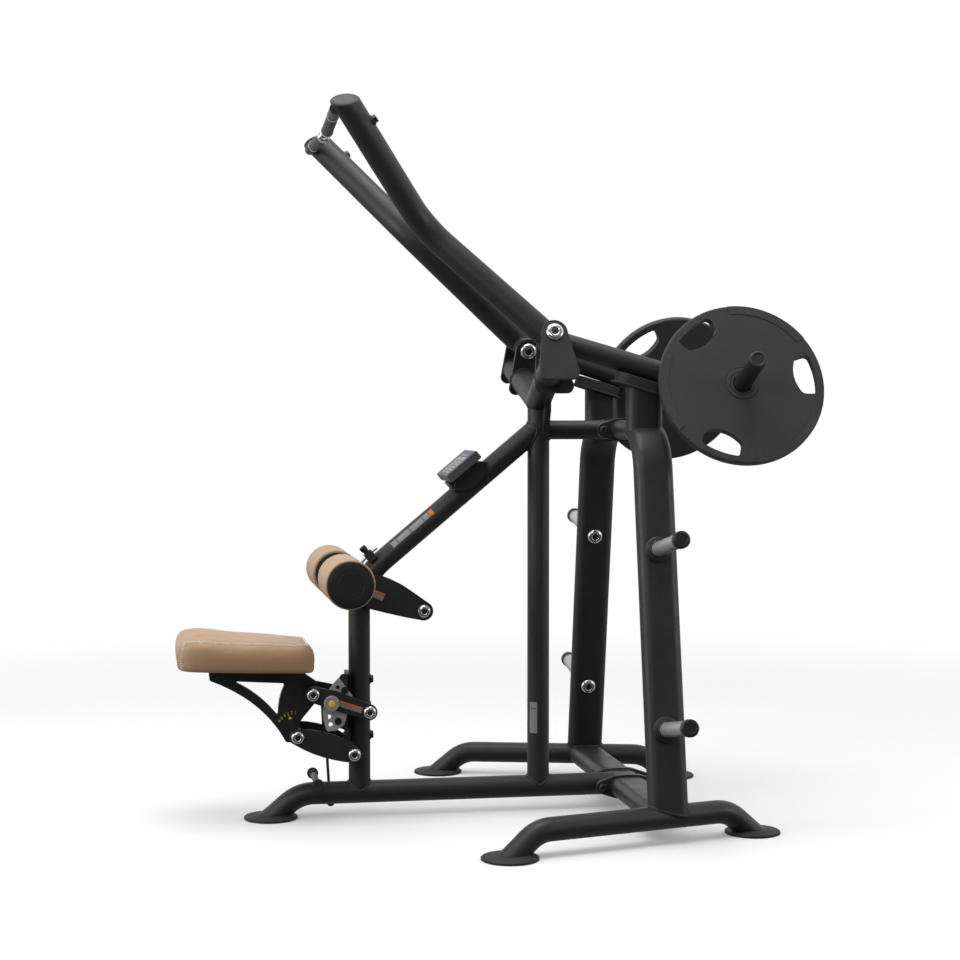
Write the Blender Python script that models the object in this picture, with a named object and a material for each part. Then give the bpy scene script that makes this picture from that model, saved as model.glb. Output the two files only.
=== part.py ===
"""Iso-lateral lat pulldown machine with plate loaded lever arms.

Metres, +Z up.  +X points to the weight horns, -X to the user's seat, and the
XZ plane is the plane of symmetry.  The user faces +X, so -Y is the right side.
The origin is on the floor under the middle of the machine.
Layout heights and lengths are measured from the main upright's axis (X = 0 in
the layout); SHIFT_X moves the layout so that the origin is central.
"""
import math

import bmesh
import bpy
from mathutils import Vector

# ------------------------------------------------------------ driving dimensions
SHIFT_X = 0.15755
GAP = 0.0003                 # clearance kept between separate pieces
TUBE_R = 0.03175             # round frame tube
SPINE_R = 0.032
SPINE_Z = 0.068
UPPER_Z = 1.104              # height of the upper cross bar
DIAG_ANGLE = math.radians(40.0)
FRONT_X = -0.5225            # axis of the front upright
FRONT_R = 0.031
FRONT_BEND_R = 0.19
POST_X = 0.254               # plane of the side frames
OVAL_LONG = 0.110            # flat-oval tube section
OVAL_SHORT = 0.056
POST_LEAN = 0.180            # inward shift per metre of height
POST_Y0 = 0.485              # half track of the post axis at height POST_Z0
POST_Z0 = 0.120
FOOT_TOP = 0.012
FOOT_R = 0.076

PIVOT = Vector((-0.004, 0.2006, 1.356))      # left lever arm's pivot centre
PIVOT_AXIS = Vector((-0.0585, 0.938, 0.341)).normalized()
ARM_BEND = Vector((-0.355, 0.127, 1.671))
ARM_TIP = Vector((-0.601, 0.398, 1.970))
ARM_REAR = Vector((0.501, 0.287, 1.204))
SADDLE_Z = 1.187             # where the two saddle tubes meet
SADDLE_R = 0.036
EAR_IN = 0.048               # ear faces either side of the pivot centre
EAR_T = 0.010
GRIP_L = 0.2440
PLATE_R = 0.2315
PLATE_T = 0.026
PLATE_FACE = 0.086           # plate's outer face from the arm's plane
SLEEVE_R = 0.024
SLEEVE_END = 0.268

SEAT_A = (-0.6615, 0.3613)   # seat linkage pivots, X and Z
SEAT_B = (-0.5019, 0.3073)
SEAT_C = (-0.7053, 0.2420)
SEAT_D = (-0.5457, 0.1880)
LINK_IN = 0.071
LINK_OUT = 0.079
SHAFT_R = 0.010
GAS_TOP = (-0.6215, 0.3478)
GAS_FOOT = (-0.6035, 0.0350)
SECTOR_BOLTS = ((-0.5710, 0.3700), (-0.5900, 0.2830))

LEVER_PIN = (-0.3416, 0.5876)
ROLLER_PIN = (-0.5800, 0.6890)
ROLLER_R = 0.068
LEAF_IN = 0.034
LEAF_OUT = 0.042
ROD_ARC_R = 0.2255           # adjuster rod's radius about the lever pin

SIDES = (("right", -1), ("left", 1))

# ------------------------------------------------------------ materials
BLACK = ("black_paint", (0.020, 0.020, 0.021), 0.45, 0.0)
CHARCOAL = ("charcoal_iron", (0.045, 0.045, 0.046), 0.62, 0.0)
CHROME = ("chrome", (0.80, 0.80, 0.79), 0.16, 1.0)
ZINC = ("zinc", (0.62, 0.61, 0.57), 0.36, 1.0)
STEEL = ("brushed_steel", (0.60, 0.60, 0.59), 0.30, 1.0)
RUBBER = ("black_rubber", (0.025, 0.025, 0.026), 0.80, 0.0)
GREY_RUBBER = ("grey_rubber", (0.110, 0.110, 0.112), 0.70, 0.0)
VINYL = ("tan_vinyl", (0.420, 0.335, 0.260), 0.55, 0.0)
PLASTIC = ("grey_plastic", (0.080, 0.082, 0.085), 0.42, 0.0)


def material(spec):
    """A Principled material, made once for each named finish of a piece."""
    name, colour, roughness, metallic = spec
    mat = bpy.data.materials.new(name)
    mat.use_nodes = True
    shader = mat.node_tree.nodes["Principled BSDF"]
    shader.inputs["Base Color"].default_value = (*colour, 1.0)
    shader.inputs["Roughness"].default_value = roughness
    shader.inputs["Metallic"].default_value = metallic
    return mat


# ------------------------------------------------------------ paths and outlines
def circle(radius, segments=16):
    """Closed round section, anticlockwise."""
    return [(radius * math.cos(2 * math.pi * i / segments), radius * math.sin(2 * math.pi * i / segments))
            for i in range(segments)]


def oval(long_side, short_side, segments=5):
    """Flat-oval section: two half rounds joined by straight walls, long side first."""
    radius = short_side / 2
    offset = long_side / 2 - radius
    points = []
    for centre, start in ((offset, -90.0), (-offset, 90.0)):
        for i in range(segments + 1):
            angle = math.radians(start + 180.0 * i / segments)
            points.append((centre + radius * math.cos(angle), radius * math.sin(angle)))
    return points


def arc(centre, radius, start, end, steps):
    """Points on an arc, angles in degrees."""
    points = []
    for i in range(steps + 1):
        angle = math.radians(start + (end - start) * i / steps)
        points.append((centre[0] + radius * math.cos(angle), centre[1] + radius * math.sin(angle)))
    return points


def wrapped(circles, segments=20):
    """Outline of a band stretched round circles given as (x, z, radius)."""
    cloud = []
    for x, z, radius in circles:
        cloud += arc((x, z), radius, 0.0, 360.0 * (segments - 1) / segments, segments - 1)
    cloud = sorted(set((round(x, 7), round(z, 7)) for x, z in cloud))

    def half(points):
        chain = []
        for point in points:
            while len(chain) > 1:
                ax, az = chain[-1][0] - chain[-2][0], chain[-1][1] - chain[-2][1]
                bx, bz = point[0] - chain[-1][0], point[1] - chain[-1][1]
                if ax * bz - az * bx > 1e-10:
                    break
                chain.pop()
            chain.append(point)
        return chain[:-1]

    return half(cloud) + half(cloud[::-1])


def filleted(corners, radii, steps=3):
    """Polygon with each corner rounded to its own radius."""
    points = []
    count = len(corners)
    for i in range(count):
        corner = Vector(corners[i])
        before = (Vector(corners[i - 1]) - corner)
        after = (Vector(corners[(i + 1) % count]) - corner)
        radius = radii[i]
        if radius <= 0:
            points.append((corner.x, corner.y))
            continue
        half_angle = before.angle(after) / 2
        reach = radius / math.tan(half_angle)
        first = corner + before.normalized() * reach
        last = corner + after.normalized() * reach
        middle = corner + (before.normalized() + after.normalized()).normalized() * radius / math.sin(half_angle)
        start = math.atan2(first.y - middle.y, first.x - middle.x)
        end = math.atan2(last.y - middle.y, last.x - middle.x)
        turn = (end - start + math.pi) % (2 * math.pi) - math.pi
        for k in range(steps + 1):
            angle = start + turn * k / steps
            points.append((middle.x + radius * math.cos(angle), middle.y + radius * math.sin(angle)))
    return points


def bent(corners, radii, step=10.0):
    """Centre line through corners, each inner corner rounded to its bend radius."""
    corners = [Vector(c) for c in corners]
    points = [corners[0]]
    for i in range(1, len(corners) - 1):
        into = (corners[i] - corners[i - 1]).normalized()
        out = (corners[i + 1] - corners[i]).normalized()
        angle = into.angle(out)
        radius = radii[i - 1]
        start = corners[i] - into * radius * math.tan(angle / 2)
        inward = (out - into * into.dot(out)).normalized()
        centre = start + inward * radius
        steps = max(2, math.ceil(math.degrees(angle) / step))
        for k in range(steps + 1):
            turn = angle * k / steps
            points.append(centre + (into * math.sin(turn) - inward * math.cos(turn)) * radius)
    points.append(corners[-1])
    return points


# ------------------------------------------------------------ solids
def bridge(bm, rings, closed_ends=True):
    """Skin consecutive rings of vertices, with flat caps on the two ends."""
    count = len(rings[0])
    for lower, upper in zip(rings, rings[1:]):
        if len(lower) == 1 and len(upper) == 1:
            continue
        for j in range(count if len(lower) > 1 else len(upper)):
            k = (j + 1) % max(len(lower), len(upper))
            if len(lower) == 1:
                bm.faces.new((lower[0], upper[k], upper[j]))
            elif len(upper) == 1:
                bm.faces.new((lower[j], lower[k], upper[0]))
            else:
                bm.faces.new((lower[j], lower[k], upper[k], upper[j]))
    if closed_ends:
        if len(rings[0]) > 1:
            bm.faces.new(rings[0][::-1])
        if len(rings[-1]) > 1:
            bm.faces.new(rings[-1])
    bmesh.ops.recalc_face_normals(bm, faces=bm.faces)
    return bm


def sweep(section, path, side, start_cut=None, end_cut=None, scales=None, dome=()):
    """Carry a section along a path; side is the section's first axis at the start.

    A cut is a plane (point, normal) onto which that end is trimmed obliquely, and a
    dome adds rings beyond the last end as (scale, height) pairs.
    """
    bm = bmesh.new()
    path = [Vector(p) for p in path]
    across = Vector(side)
    rings = []
    last = len(path) - 1
    for i, point in enumerate(path):
        if i == 0:
            along = path[1] - path[0]
        elif i == last:
            along = path[-1] - path[-2]
        else:
            along = (path[i + 1] - point).normalized() + (point - path[i - 1]).normalized()
        along.normalize()
        across = (across - along * across.dot(along)).normalized()
        up = along.cross(across)
        wide, high = scales[i] if scales else (1.0, 1.0)
        corners = [point + across * a * wide + up * b * high for a, b in section]
        cut = start_cut if i == 0 else end_cut if i == last else None
        if cut:
            at, normal = Vector(cut[0]), Vector(cut[1])
            corners = [c + along * ((at - c).dot(normal) / along.dot(normal)) for c in corners]
        rings.append([bm.verts.new(c) for c in corners])
    for scale, height in dome:
        middle, normal = Vector(end_cut[0]), Vector(end_cut[1])
        rings.append([bm.verts.new(middle + (c - middle) * scale + normal * height) for c in corners])
    return bridge(bm, rings)


def turned(profile, base, axis, segments=16):
    """Solid of revolution: profile of (radius, height) pairs from end to end."""
    bm = bmesh.new()
    base, axis = Vector(base), Vector(axis).normalized()
    across = axis.orthogonal().normalized()
    up = axis.cross(across)
    rings = []
    for radius, height in profile:
        centre = base + axis * height
        if radius < 1e-6:
            rings.append([bm.verts.new(centre)])
        else:
            rings.append([bm.verts.new(centre + across * a + up * b) for a, b in circle(radius, segments)])
    return bridge(bm, rings)


def ring(profile, base, axis, segments=16):
    """Bored solid of revolution: a closed loop of (radius, height) pairs."""
    bm = bmesh.new()
    base, axis = Vector(base), Vector(axis).normalized()
    across = axis.orthogonal().normalized()
    up = axis.cross(across)
    rings = []
    for radius, height in profile:
        centre = base + axis * height
        rings.append([bm.verts.new(centre + across * a + up * b) for a, b in circle(radius, segments)])
    return bridge(bm, rings + [rings[0]], closed_ends=False)


def slab(outline, origin, first, second, low, high):
    """Flat plate: outline in the plane of two axes, between two offsets along its normal."""
    bm = bmesh.new()
    origin, first, second = Vector(origin), Vector(first).normalized(), Vector(second).normalized()
    normal = first.cross(second)
    rings = []
    for offset in (low, high):
        rings.append([bm.verts.new(origin + first * a + second * b + normal * offset) for a, b in outline])
    return bridge(bm, rings)


def side_plate(outline, y_low, y_high):
    """Plate standing in an XZ plane between two Y values."""
    return slab(outline, (0, 0, 0), (1, 0, 0), (0, 0, 1), -y_high, -y_low)


def block(low, high):
    """Box between two corners."""
    outline = [(low[0], low[1]), (high[0], low[1]), (high[0], high[1]), (low[0], high[1])]
    return slab(outline, (0, 0, 0), (1, 0, 0), (0, 1, 0), low[2], high[2])


def bore(x, z, radius=None, y_low=-0.1, y_high=0.1, segments=10):
    """Cutter for a hole whose flats clear a shaft that turns in it."""
    radius = SHAFT_R if radius is None else radius
    return rod(x, z, (radius + GAP) / math.cos(math.pi / segments), y_low, y_high, segments)


def rod(x, z, radius, y_low, y_high, segments=10):
    """Round bar along Y."""
    return turned([(radius, y_low), (radius, y_high)], (x, 0, z), (0, 1, 0), segments)


def stud(radius, head_r, half, head_h, inner=None):
    """Profile of a through bolt with a domed head on both ends."""
    start = -half if inner is None else inner
    dome = [(head_r, 0.0), (head_r * 0.90, head_h * 0.55), (head_r * 0.50, head_h)]
    lower = [(r, start - h) for r, h in reversed(dome)]
    upper = [(r, half + h) for r, h in dome]
    return lower + [(radius, start)] + [(radius, half)] + upper


# ------------------------------------------------------------ objects
def temp(bm):
    """Hidden working solid."""
    mesh = bpy.data.meshes.new("cutter")
    bm.to_mesh(mesh)
    bm.free()
    obj = bpy.data.objects.new("cutter", mesh)
    bpy.context.scene.collection.objects.link(obj)
    obj.hide_render = True
    obj.display_type = "WIRE"
    return obj


def combined(base, joined=(), cut=()):
    """Weld solids onto a base solid and then cut others away; returns a bmesh."""
    target = temp(base)
    tools = []
    for operation, solids in (("UNION", joined), ("DIFFERENCE", cut)):
        for solid in solids:
            tool = temp(solid)
            tools.append(tool)
            modifier = target.modifiers.new(operation, "BOOLEAN")
            modifier.operation = operation
            modifier.solver = "EXACT"
            modifier.object = tool
    evaluated = target.evaluated_get(bpy.context.evaluated_depsgraph_get())
    bm = bmesh.new()
    bm.from_mesh(evaluated.to_mesh())
    evaluated.to_mesh_clear()
    for obj in [target] + tools:
        mesh = obj.data
        bpy.data.objects.remove(obj)
        bpy.data.meshes.remove(mesh)
    bmesh.ops.remove_doubles(bm, verts=bm.verts, dist=1e-6)
    bmesh.ops.dissolve_degenerate(bm, dist=1e-6, edges=bm.edges)
    return bm


def add(name, bm, spec, origin=(0.0, 0.0, 0.0), sharp=35.0):
    """Finish a piece: its own object, material and origin (on the joint axis if it moves)."""
    origin = Vector(origin)
    bmesh.ops.translate(bm, verts=bm.verts, vec=-origin)
    mesh = bpy.data.meshes.new(name)
    bm.to_mesh(mesh)
    bm.free()
    mesh.shade_smooth()
    mesh.set_sharp_from_angle(angle=math.radians(sharp))
    mesh.materials.append(material(spec))
    obj = bpy.data.objects.new(name, mesh)
    bpy.context.scene.collection.objects.link(obj)
    obj.location = origin + Vector((SHIFT_X, 0.0, 0.0))
    return obj


def mirrored(vector, side):
    """A point or direction of the left side carried to the given side."""
    return Vector((vector[0], vector[1] * side, vector[2]))


# ------------------------------------------------------------ base frame
def flange_outline(centre_x, centre_z, grow=0.0):
    """Lens shaped bolting flange."""
    return wrapped([(centre_x, centre_z, 0.035 + grow),
                    (centre_x - 0.030, centre_z, 0.0335 + grow), (centre_x + 0.030, centre_z, 0.0335 + grow),
                    (centre_x - 0.073, centre_z, 0.020 + grow), (centre_x + 0.073, centre_z, 0.020 + grow)], 14)


def cross_hub(height):
    """Short flat-oval cross tube with a bolting flange at both ends."""
    tube = sweep(oval(OVAL_LONG, OVAL_SHORT), [(POST_X, -0.050, height), (POST_X, 0.050, height)], (1, 0, 0))
    flanges = [side_plate(flange_outline(POST_X, height), 0.045, 0.055),
               side_plate(flange_outline(POST_X, height), -0.055, -0.045)]
    return tube, flanges


def tie_holes(height, y_low, y_high):
    return [rod(POST_X + dx, height, 0.0085, y_low, y_high, 8) for dx in (-0.076, 0.076)]


def spine_path():
    drop = SPINE_Z / math.tan(DIAG_ANGLE)
    return bent([(0.225, 0, SPINE_Z), (-0.776 + drop, 0, SPINE_Z), (-0.776, 0, 0)], [0.11])


def build_base():
    hub, flanges = cross_hub(SPINE_Z)
    spine = sweep(circle(SPINE_R), spine_path(), (0, 1, 0), end_cut=((0, 0, FOOT_TOP + GAP), (0, 0, 1)))
    lug = side_plate(wrapped([(*GAS_FOOT, 0.011), (-0.594, 0.055, 0.012), (-0.613, 0.055, 0.012)], 10),
                     0.020, 0.0405)
    holes = tie_holes(SPINE_Z, -0.1, 0.1) + [rod(*GAS_FOOT, 0.0040, 0.0, 0.1, 12)]
    add("base_spine", combined(spine, [hub] + flanges + [lug], holes), BLACK)

    hub, flanges = cross_hub(UPPER_Z)
    bar = sweep(circle(0.0275), [(0.0, 0, UPPER_Z), (0.225, 0, UPPER_Z)], (0, 1, 0))
    upright = turned([(TUBE_R + GAP, 0.9), (TUBE_R + GAP, 1.3)], (0, 0, 0), (0, 0, 1), 20)
    clear = block((-0.1, -0.1, 0.9), (0.0224, 0.1, 1.3))
    add("upper_bar", combined(bar, [hub] + flanges, [upright, clear] + tie_holes(UPPER_Z, -0.1, 0.1)), BLACK)

    for level, height in (("lower", SPINE_Z), ("upper", UPPER_Z)):
        for place, dx in (("front", -0.076), ("rear", 0.076)):
            bolt = turned(stud(0.0080, 0.0125, 0.0653, 0.0085), (POST_X + dx, 0, height), (0, 1, 0), 8)
            add("%s_%s_tie_bolt" % (level, place), bolt, BLACK)


def front_tube_path():
    corner_z = 0.7292 - (FRONT_X + 0.4565) * -math.tan(DIAG_ANGLE)
    top_z = corner_z - FRONT_X * math.tan(DIAG_ANGLE)
    return bent([(FRONT_X, 0, SPINE_Z), (FRONT_X, 0, corner_z), (0, 0, top_z)], [FRONT_BEND_R], 8.5)


def build_uprights():
    spine = turned([(SPINE_R + GAP, -0.7), (SPINE_R + GAP, 0.2)], (0, 0, SPINE_Z), (1, 0, 0))
    post = turned([(TUBE_R + GAP, 0.9), (TUBE_R + GAP, 1.3)], (0, 0, 0), (0, 0, 1), 20)
    tube = sweep(circle(FRONT_R), front_tube_path(), (0, 1, 0))
    px, pz = LEVER_PIN
    lug = side_plate(wrapped([(px, pz, 0.022), (-0.500, 0.620, 0.015), (-0.505, 0.655, 0.020)], 16), -0.012, 0.012)
    boss = rod(px, pz, 0.019, -(LEAF_IN - 0.0006), LEAF_IN - 0.0006)
    holes = [bore(px, pz, segments=14), bore(*SEAT_B), bore(*SEAT_D)]
    bolts = [turned([(0.0058, -0.70), (0.0058, -0.40)], (0, 0, z), (1, 0, 0), 8) for z in (0.392, 0.232)]
    add("front_tube", combined(tube, [lug, boss], [spine, post] + holes + bolts), BLACK)

    spine = turned([(SPINE_R + GAP, -0.1), (SPINE_R + GAP, 0.1)], (0, 0, SPINE_Z), (1, 0, 0))
    upright = turned([(TUBE_R, SPINE_Z), (TUBE_R, 1.22)], (0, 0, 0), (0, 0, 1), 20)
    ribs = []
    for side in (-1, 1):
        profile = [(side * 0.020, 1.075), (side * 0.0345, 1.075), (side * 0.075, 1.160), (side * 0.075, 1.185),
                   (side * 0.020, 1.185)]
        ribs.append(slab(profile, (0, 0, 0), (0, 1, 0), (0, 0, 1), 0.004, 0.022))
    cuts = [spine]
    for _, side in SIDES:
        cuts.append(saddle_tube(side, SADDLE_R + GAP, -0.10))
    above = block((-0.1, -0.1, SADDLE_Z), (0.1, 0.1, 1.3))
    add("main_upright", combined(upright, ribs, cuts + [above]), BLACK)


def saddle_tube(side, radius, start=0.0, end=0.246 + EAR_IN + 0.005):
    axis = mirrored(PIVOT_AXIS, side)
    return turned([(radius, start), (radius, end)], (0, 0, SADDLE_Z), axis, 18)


def ear_axes(side):
    """Pivot axis, the plate's downward direction and its rearward direction."""
    axis = mirrored(PIVOT_AXIS, side)
    down = Vector((0, 0, -1)) - axis * axis.z * -1
    down = (Vector((0, 0, -1)) - axis * Vector((0, 0, -1)).dot(axis)).normalized()
    rear = down.cross(axis).normalized()
    if rear.x < 0:
        rear = -rear
    return axis, down, rear


def build_saddle():
    for name, side in SIDES:
        axis, down, rear = ear_axes(side)
        pivot = mirrored(PIVOT, side)
        outline = wrapped([(0, 0, 0.0365), (-0.027, 0.118, 0.020), (0.044, 0.118, 0.020)], 20)
        ears = []
        for low, high in ((EAR_IN, EAR_IN + EAR_T), (-EAR_IN - EAR_T, -EAR_IN)):
            if rear.cross(down).dot(axis) < 0:
                low, high = -high, -low
            ears.append(slab(outline, pivot, rear, down, low, high))
        hole = turned([(0.0125 + GAP, -0.1), (0.0125 + GAP, 0.1)], pivot, axis, 14)
        half = block((-0.2, -0.3, 1.0), (0.2, 0.00015, 1.5)) if side > 0 else \
            block((-0.2, -0.00015, 1.0), (0.2, 0.3, 1.5))
        tube = saddle_tube(side, SADDLE_R, -0.05)
        add("%s_pivot_bracket" % name, combined(tube, ears, [half, hole]), BLACK)
        axle = turned(stud(0.0125, 0.0250, EAR_IN + EAR_T + GAP, 0.0100), pivot, axis, 14)
        add("%s_arm_axle" % name, axle, CHROME)


# ------------------------------------------------------------ side frames
def skid_ends(side):
    front = Vector((-0.201, side * 0.611, 0.0))
    rear = Vector((0.514, side * 0.418, 0.0))
    return front, rear


def skid_solids(side, grow):
    front, rear = skid_ends(side)
    along = (rear - front).normalized()
    drop = along * (SPINE_Z / math.tan(DIAG_ANGLE))
    lift = Vector((0, 0, SPINE_Z))
    path = bent([front, front + drop + lift, rear - drop + lift, rear], [0.10, 0.10])
    level = ((0, 0, FOOT_TOP + GAP), (0, 0, 1))
    tube = sweep(circle(TUBE_R + grow), path, along.cross(Vector((0, 0, 1))), level, level)
    reach = 0.470
    cross = sweep([(a * (1 + grow * 18), b * (1 + grow * 36)) for a, b in oval(OVAL_LONG, OVAL_SHORT)],
                  [(POST_X, side * 0.060, SPINE_Z), (POST_X, side * reach, SPINE_Z)], (1, 0, 0))
    return tube, cross


def post_path(side):
    def half_track(z):
        return POST_Y0 - POST_LEAN * (z - POST_Z0)
    return bent([(POST_X, side * half_track(0.075), 0.075), (POST_X, side * half_track(UPPER_Z), UPPER_Z),
                 (POST_X, side * 0.060, UPPER_Z)], [0.13], 10.0)


def horn_frame(side, height):
    """Foot of a storage horn on the post's outer face, and its outward direction."""
    lean = math.atan(POST_LEAN)
    outward = Vector((0.0, side * math.cos(lean), math.sin(lean)))
    centre = Vector((POST_X - 0.004, side * (POST_Y0 - POST_LEAN * (height - POST_Z0)), height))
    return centre, outward


HORN_HEIGHTS = (("upper", 0.776), ("lower", 0.297))
HORN_END = 0.268             # cap of a storage horn from the post axis


def build_sides():
    for name, side in SIDES:
        tube, cross = skid_solids(side, 0.0)
        low, high = sorted((side * (0.055 + GAP), side * 0.065))
        flange = side_plate(flange_outline(POST_X, SPINE_Z), low, high)
        span = sorted((side * 0.04, side * 0.10))
        add("%s_skid" % name, combined(tube, [cross, flange], tie_holes(SPINE_Z, *span)), BLACK)

        lower_tube, lower_cross = skid_solids(side, GAP)
        post = sweep(oval(OVAL_LONG, OVAL_SHORT), post_path(side), (1, 0, 0))
        flange = side_plate(flange_outline(POST_X, UPPER_Z), low, high)
        pad_low, pad_normal, _ = bumper_frame(side)
        neck = sweep(oval(0.103, OVAL_SHORT), [(0.2485, side * 0.250, 1.100), (0.2485, side * 0.250, 1.30)],
                     (1, 0, 0), end_cut=(pad_low - pad_normal * GAP, pad_normal))
        bores = []
        for _, height in HORN_HEIGHTS:
            centre, outward = horn_frame(side, height)
            bores.append(turned([(0.0083, -0.06), (0.0083, 0.06)], centre, outward, 12))
        add("%s_post" % name, combined(post, [flange, neck],
                                       [lower_tube, lower_cross] + bores + tie_holes(UPPER_Z, *span)), BLACK)

        for level, height in HORN_HEIGHTS:
            centre, outward = horn_frame(side, height)
            face = OVAL_SHORT / 2 + GAP
            dome = [(0.0110, -face - 0.010), (0.0210, -face - 0.0055), (0.0235, -face)]
            spigot = [(0.0080, -face), (0.0080, face)]
            horn = [(0.0360, face), (0.0350, face + 0.007), (0.0200, face + 0.010), (0.0200, HORN_END - 0.018),
                    (0.0235, HORN_END - 0.018), (0.0235, HORN_END - 0.003), (0.0210, HORN_END)]
            add("%s_%s_horn" % (name, level), turned(dome + spigot + horn, centre, outward, 12), STEEL)

        base, normal, along = bumper_frame(side)
        across = normal.cross(along).normalized()
        pad = slab(oval(0.140, 0.066, 7), base, along, across, 0.0, 0.033)
        lip = slab(oval(0.156, 0.080, 7), base, along, across, 0.0, 0.006)
        if across.dot(Vector((0, 1, 0))) * 1 and along.cross(across).dot(normal) < 0:
            pad = slab(oval(0.140, 0.066, 7), base, along, -across, 0.0, 0.033)
            lip = slab(oval(0.156, 0.080, 7), base, along, -across, 0.0, 0.006)
        add("%s_bumper" % name, combined(pad, [lip]), RUBBER)

    add("front_foot", foot((-0.776, 0, 0)), RUBBER)
    for name, side in SIDES:
        for place, centre in zip(("front", "rear"), skid_ends(side)):
            add("%s_%s_foot" % (name, place), foot(centre), RUBBER)


def bumper_frame(side):
    """Base centre, normal and uphill direction of the arm's rest pad."""
    slope = math.radians(-16.7)
    along = Vector((math.cos(slope), 0, math.sin(slope)))
    normal = Vector((-math.sin(slope), 0, math.cos(slope)))
    arm = PIVOT + (ARM_REAR - PIVOT) * ((0.250 - PIVOT.x) / (ARM_REAR.x - PIVOT.x))
    top = Vector((0.247, side * (arm.y + 0.004), 0)) + Vector((0, 0, 1)) * (arm.z - 0.0010)
    base = top - normal * (0.030 + 0.0010 + 0.033)
    return base, normal, along


def foot(centre):
    profile = [(FOOT_R, 0.0), (FOOT_R, 0.0080), (0.0530, 0.009), (0.0515, FOOT_TOP)]
    return turned(profile, centre, (0, 0, 1), 20)


# ------------------------------------------------------------ lever arms
def build_arms():
    for name, side in SIDES:
        axis = mirrored(PIVOT_AXIS, side)
        pivot = mirrored(PIVOT, side)
        bend, tip, rear = mirrored(ARM_BEND, side), mirrored(ARM_TIP, side), mirrored(ARM_REAR, side)
        path = bent([rear, pivot, bend, tip], [0.15, 0.20], 9.0)
        scales = []
        front = (bend - pivot).normalized()
        back = (rear - pivot).normalized()
        for point in path:
            offset = point - pivot
            ahead = min(1.0, max(0.0, (offset.dot(front) - offset.dot(back) + 0.05) / 0.12))
            scales.append((0.0300 - 0.0005 * ahead, 0.0300 + 0.0080 * ahead))
        tip_normal = Vector((0.0, side * 0.63, 0.77)).normalized()
        tube = sweep(circle(1.0, 16), path, axis, end_cut=(tip, tip_normal), scales=scales,
                     dome=((0.86, 0.0045), (0.50, 0.0080)))
        hub = turned([(0.0340, -EAR_IN + GAP), (0.0340, EAR_IN - GAP)], pivot, axis, 14)
        boss = turned([(0.0360, -0.032), (0.0360, 0.052), (0.0410, 0.0530), (0.0410, PLATE_FACE - PLATE_T - GAP)],
                      rear, axis, 14)
        sleeve = turned([(SLEEVE_R, 0.0), (SLEEVE_R, SLEEVE_END - 0.004), (SLEEVE_R - 0.003, SLEEVE_END),
                         (0.0170, SLEEVE_END), (0.0155, SLEEVE_END - 0.004)], rear, axis, 14)
        start, along = grip_frame(side)
        stem = turned([(0.0162, -0.100), (0.0162, -GAP)], start, along, 16)
        toward = (tip - bend).normalized()
        bolt_at = tip - toward * 0.095
        bolt_axis = Vector((0.83, side * 0.18, 0.53))
        bolt = turned([(0.0140, 0.020), (0.0140, 0.0385), (0.0118, 0.0390), (0.0118, 0.0470), (0.0100, 0.0480)],
                      bolt_at, bolt_axis, 12)
        hub_bore = turned([(0.0132, -0.1), (0.0132, 0.1)], pivot, axis, 14)
        pin = turned([(0.0060, -0.020), (0.0060, 0.1)], start, along, 12)
        add("%s_arm" % name, combined(tube, [hub, boss, sleeve, stem, bolt], [hub_bore, pin]), BLACK, pivot)

        grip = ring([(0.0061, 0.0), (0.0170, 0.0), (0.0170, 0.0040), (0.0162, 0.0045), (0.0162, GRIP_L - 0.0060),
                     (0.0182, GRIP_L - 0.0055), (0.0182, GRIP_L), (0.0061, GRIP_L)], start, along, 18)
        add("%s_grip" % name, grip, GREY_RUBBER, start)
        end = GRIP_L + GAP
        axle = turned([(0.0057, -0.0195), (0.0057, end), (0.0182, end), (0.0170, end + 0.0045),
                       (0.0110, end + 0.0075)], start, along, 16)
        add("%s_grip_axle" % name, axle, CHROME, start)
        add("%s_weight_plate" % name, weight_plate(rear, axis, side), CHARCOAL, rear + axis * PLATE_FACE)


def grip_frame(side):
    """Outer end of the grip's axis and its inward direction."""
    start = Vector((-0.6220, side * 0.2920, 1.9475))
    along = Vector((0.0067, -side * 0.2400, -0.0066)).normalized()
    return start, along


def weight_plate(rear, axis, side):
    outer, inner = PLATE_FACE, PLATE_FACE - PLATE_T
    profile = [(SLEEVE_R + 0.0012, inner), (0.2280, inner), (PLATE_R, inner + 0.003), (PLATE_R, outer - 0.003),
               (0.2280, outer), (0.0470, outer), (0.0450, outer + 0.002), (SLEEVE_R + 0.0012, outer + 0.002)]
    disc = ring(profile, rear, axis, 36)
    rearward = Vector((1, 0, 0)) - axis * axis.x
    rearward.normalize()
    upward = (Vector((0, 0, 1)) - axis * axis.z - rearward * rearward.z)
    upward = (upward - rearward * upward.dot(rearward)).normalized()
    flip = 1.0 if rearward.cross(upward).dot(axis) > 0 else -1.0
    pads, cuts = [], []
    for k in range(3):
        middle = 65.0 + 120.0 * k
        outline = arc((0, 0), 0.2305, middle - 32.5, middle + 32.5, 6) + \
            arc((0, 0), 0.2070, middle + 32.5, middle - 32.5, 6)
        low, high = sorted((flip * (outer - 0.002), flip * (outer + 0.0016)))
        pads.append(slab(outline, rear, rearward, upward, low, high))
        angle = math.radians(7.0 + 120.0 * k)
        radial = rearward * math.cos(angle) + upward * math.sin(angle)
        tangent = upward * math.cos(angle) - rearward * math.sin(angle)
        hole = filleted([(0.148, -0.045), (0.211, -0.057), (0.211, 0.057), (0.148, 0.045)],
                        [0.014, 0.014, 0.014, 0.014], 2)
        low, high = sorted((flip * (inner - 0.02), flip * (outer + 0.02)))
        cuts.append(slab(hole, rear, radial, tangent, low, high))
    return combined(disc, pads, cuts)


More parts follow.
